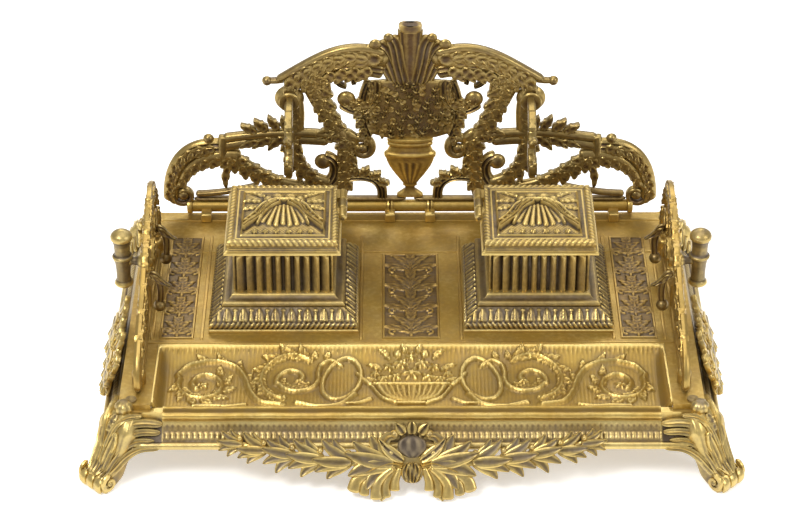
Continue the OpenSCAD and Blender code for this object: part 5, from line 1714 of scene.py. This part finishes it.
# ---------------------------------------------------------------- plain nodes and studio


class DESK_OT_plain_nodes(DeskStandMaker, bpy.types.Operator):
    """Finishes for the frame's own nodes that stay as they are"""

    bl_idname = "desk.plain_nodes"
    bl_label = "Plain nodes"

    def execute(self, context):
        plain = {"deck_plate": "bright_brass", "foot_screws": "fasteners", "gallery_studs": "fasteners",
                 "gallery_nuts": "fasteners", "pen_rest_rivets": "fasteners",
                 "side_panel_screws": "fasteners", "left_hinge_pin": "fasteners",
                 "right_hinge_pin": "fasteners", "well_bolts": "fasteners", "well_nuts": "fasteners"}
        for node, slot_name in plain.items():
            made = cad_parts[node]
            finish = metal(slot_name, relief_wear_and_shade=False)
            if not made.material_slots:
                made.data.materials.append(finish)
            for slot in made.material_slots:
                slot.material = finish
        return {"FINISHED"}


class DESK_OT_studio(DeskStandMaker, bpy.types.Operator):
    """Pale floor, soft lights and the camera"""

    bl_idname = "desk.studio"
    bl_label = "Studio"

    def execute(self, context):
        bm = bmesh.new()
        bmesh.ops.create_grid(bm, x_segments=4, y_segments=4, size=6)
        mesh = bpy.data.meshes.new("floor")
        bm.to_mesh(mesh)
        bm.free()
        floor = bpy.data.objects.new("floor", mesh)
        context.scene.collection.objects.link(floor)
        f = Finish("floor")
        place = f.node("ShaderNodeTexCoord", out=3)
        pale = f.mix(f.noise(place, 3.0), (0.93, 0.93, 0.93, 1), (0.96, 0.96, 0.95, 1))
        mesh.materials.append(f.surface({
            "Base Color": pale, "Roughness": 0.9, "Emission Color": (1, 1, 1, 1), "Emission Strength": 0.4}))
        self.lights(context)
        camera = bpy.data.cameras.new("camera")
        camera.sensor_width, camera.lens = 36.0, 121.75
        camera.clip_start, camera.clip_end = 0.05, 30
        eye = bpy.data.objects.new("camera", camera)
        eye.location = Vector((-8.65, -1178.7, 827.0)) * MM
        ahead = Vector((0.0021, 0.8403, -0.5421)).normalized()
        eye.rotation_euler = ahead.to_track_quat("-Z", "Y").to_euler()
        context.scene.collection.objects.link(eye)
        context.scene.camera = eye
        return {"FINISHED"}

    @staticmethod
    def lights(context):
        world = bpy.data.worlds.new("studio")
        context.scene.world = world
        world.use_nodes = True
        sky = world.node_tree.nodes["Background"]
        sky.inputs["Color"].default_value = (1, 1, 1, 1)
        sky.inputs["Strength"].default_value = 0.5
        context.scene.view_settings.view_transform = "Standard"
        for name, place, aim, size, power in (
                ("key", (-0.7, -0.9, 1.5), (0, 0, 0.03), (0.6, 0.5), 20),
                ("fill", (1.1, -0.6, 0.9), (0, 0, 0.05), (0.6, 0.6), 7),
                ("back", (0.1, 1.2, 1.1), (0, 0, 0.05), (1.6, 0.5), 9),
                ("top", (0, 0.1, 1.7), (0, 0, 0), (1.6, 1.0), 12)):
            light = bpy.data.lights.new(name, "AREA")
            light.shape, light.energy = "RECTANGLE", power
            light.size, light.size_y = size
            lamp = bpy.data.objects.new(name, light)
            lamp.location = place
            lamp.rotation_euler = (Vector(aim) - Vector(place)).to_track_quat("-Z", "Y").to_euler()
            context.scene.collection.objects.link(lamp)


PIECES = (
    DESK_OT_plain_nodes, DESK_OT_deck_panels, DESK_OT_pen_tray, DESK_OT_tray_rail, DESK_OT_skirts,
    DESK_OT_feet, DESK_OT_front_garland, DESK_OT_ribbon_bow, DESK_OT_side_garlands, DESK_OT_gallery_rod,
    DESK_OT_gallery_scrollwork, DESK_OT_gallery_urn, DESK_OT_plume_finial, DESK_OT_pen_rests,
    DESK_OT_side_panels, DESK_OT_side_finials, DESK_OT_pen_hooks, DESK_OT_well_bases, DESK_OT_well_bodies,
    DESK_OT_ink_liners, DESK_OT_lids, DESK_OT_studio)


class DESK_PT_stand(bpy.types.Panel):
    """Lists the makers of the stand's pieces"""

    bl_idname = "DESK_PT_stand"
    bl_label = "Desk Stand"
    bl_space_type = "VIEW_3D"
    bl_region_type = "UI"
    bl_category = "Desk Stand"

    def draw(self, context):
        column = self.layout.column()
        for group in (context.scene.desk_shape, context.scene.desk_finish):
            for name in group.__annotations__:
                column.prop(group, name)
        for piece in PIECES:
            column.operator(piece.bl_idname)


CLASSES = (DeskStandFinish, DeskStandShape, *PIECES, DESK_PT_stand)


def register():
    for made in CLASSES:
        bpy.utils.register_class(made)
    bpy.types.Scene.desk_finish = bpy.props.PointerProperty(type=DeskStandFinish)
    bpy.types.Scene.desk_shape = bpy.props.PointerProperty(type=DeskStandShape)


def unregister():
    del bpy.types.Scene.desk_shape
    del bpy.types.Scene.desk_finish
    for made in reversed(CLASSES):
        bpy.utils.unregister_class(made)


def main():
    register()
    for piece in PIECES:
        group, name = piece.bl_idname.split(".")
        getattr(getattr(bpy.ops, group), name)()


if __name__ == "__main__":
    main()
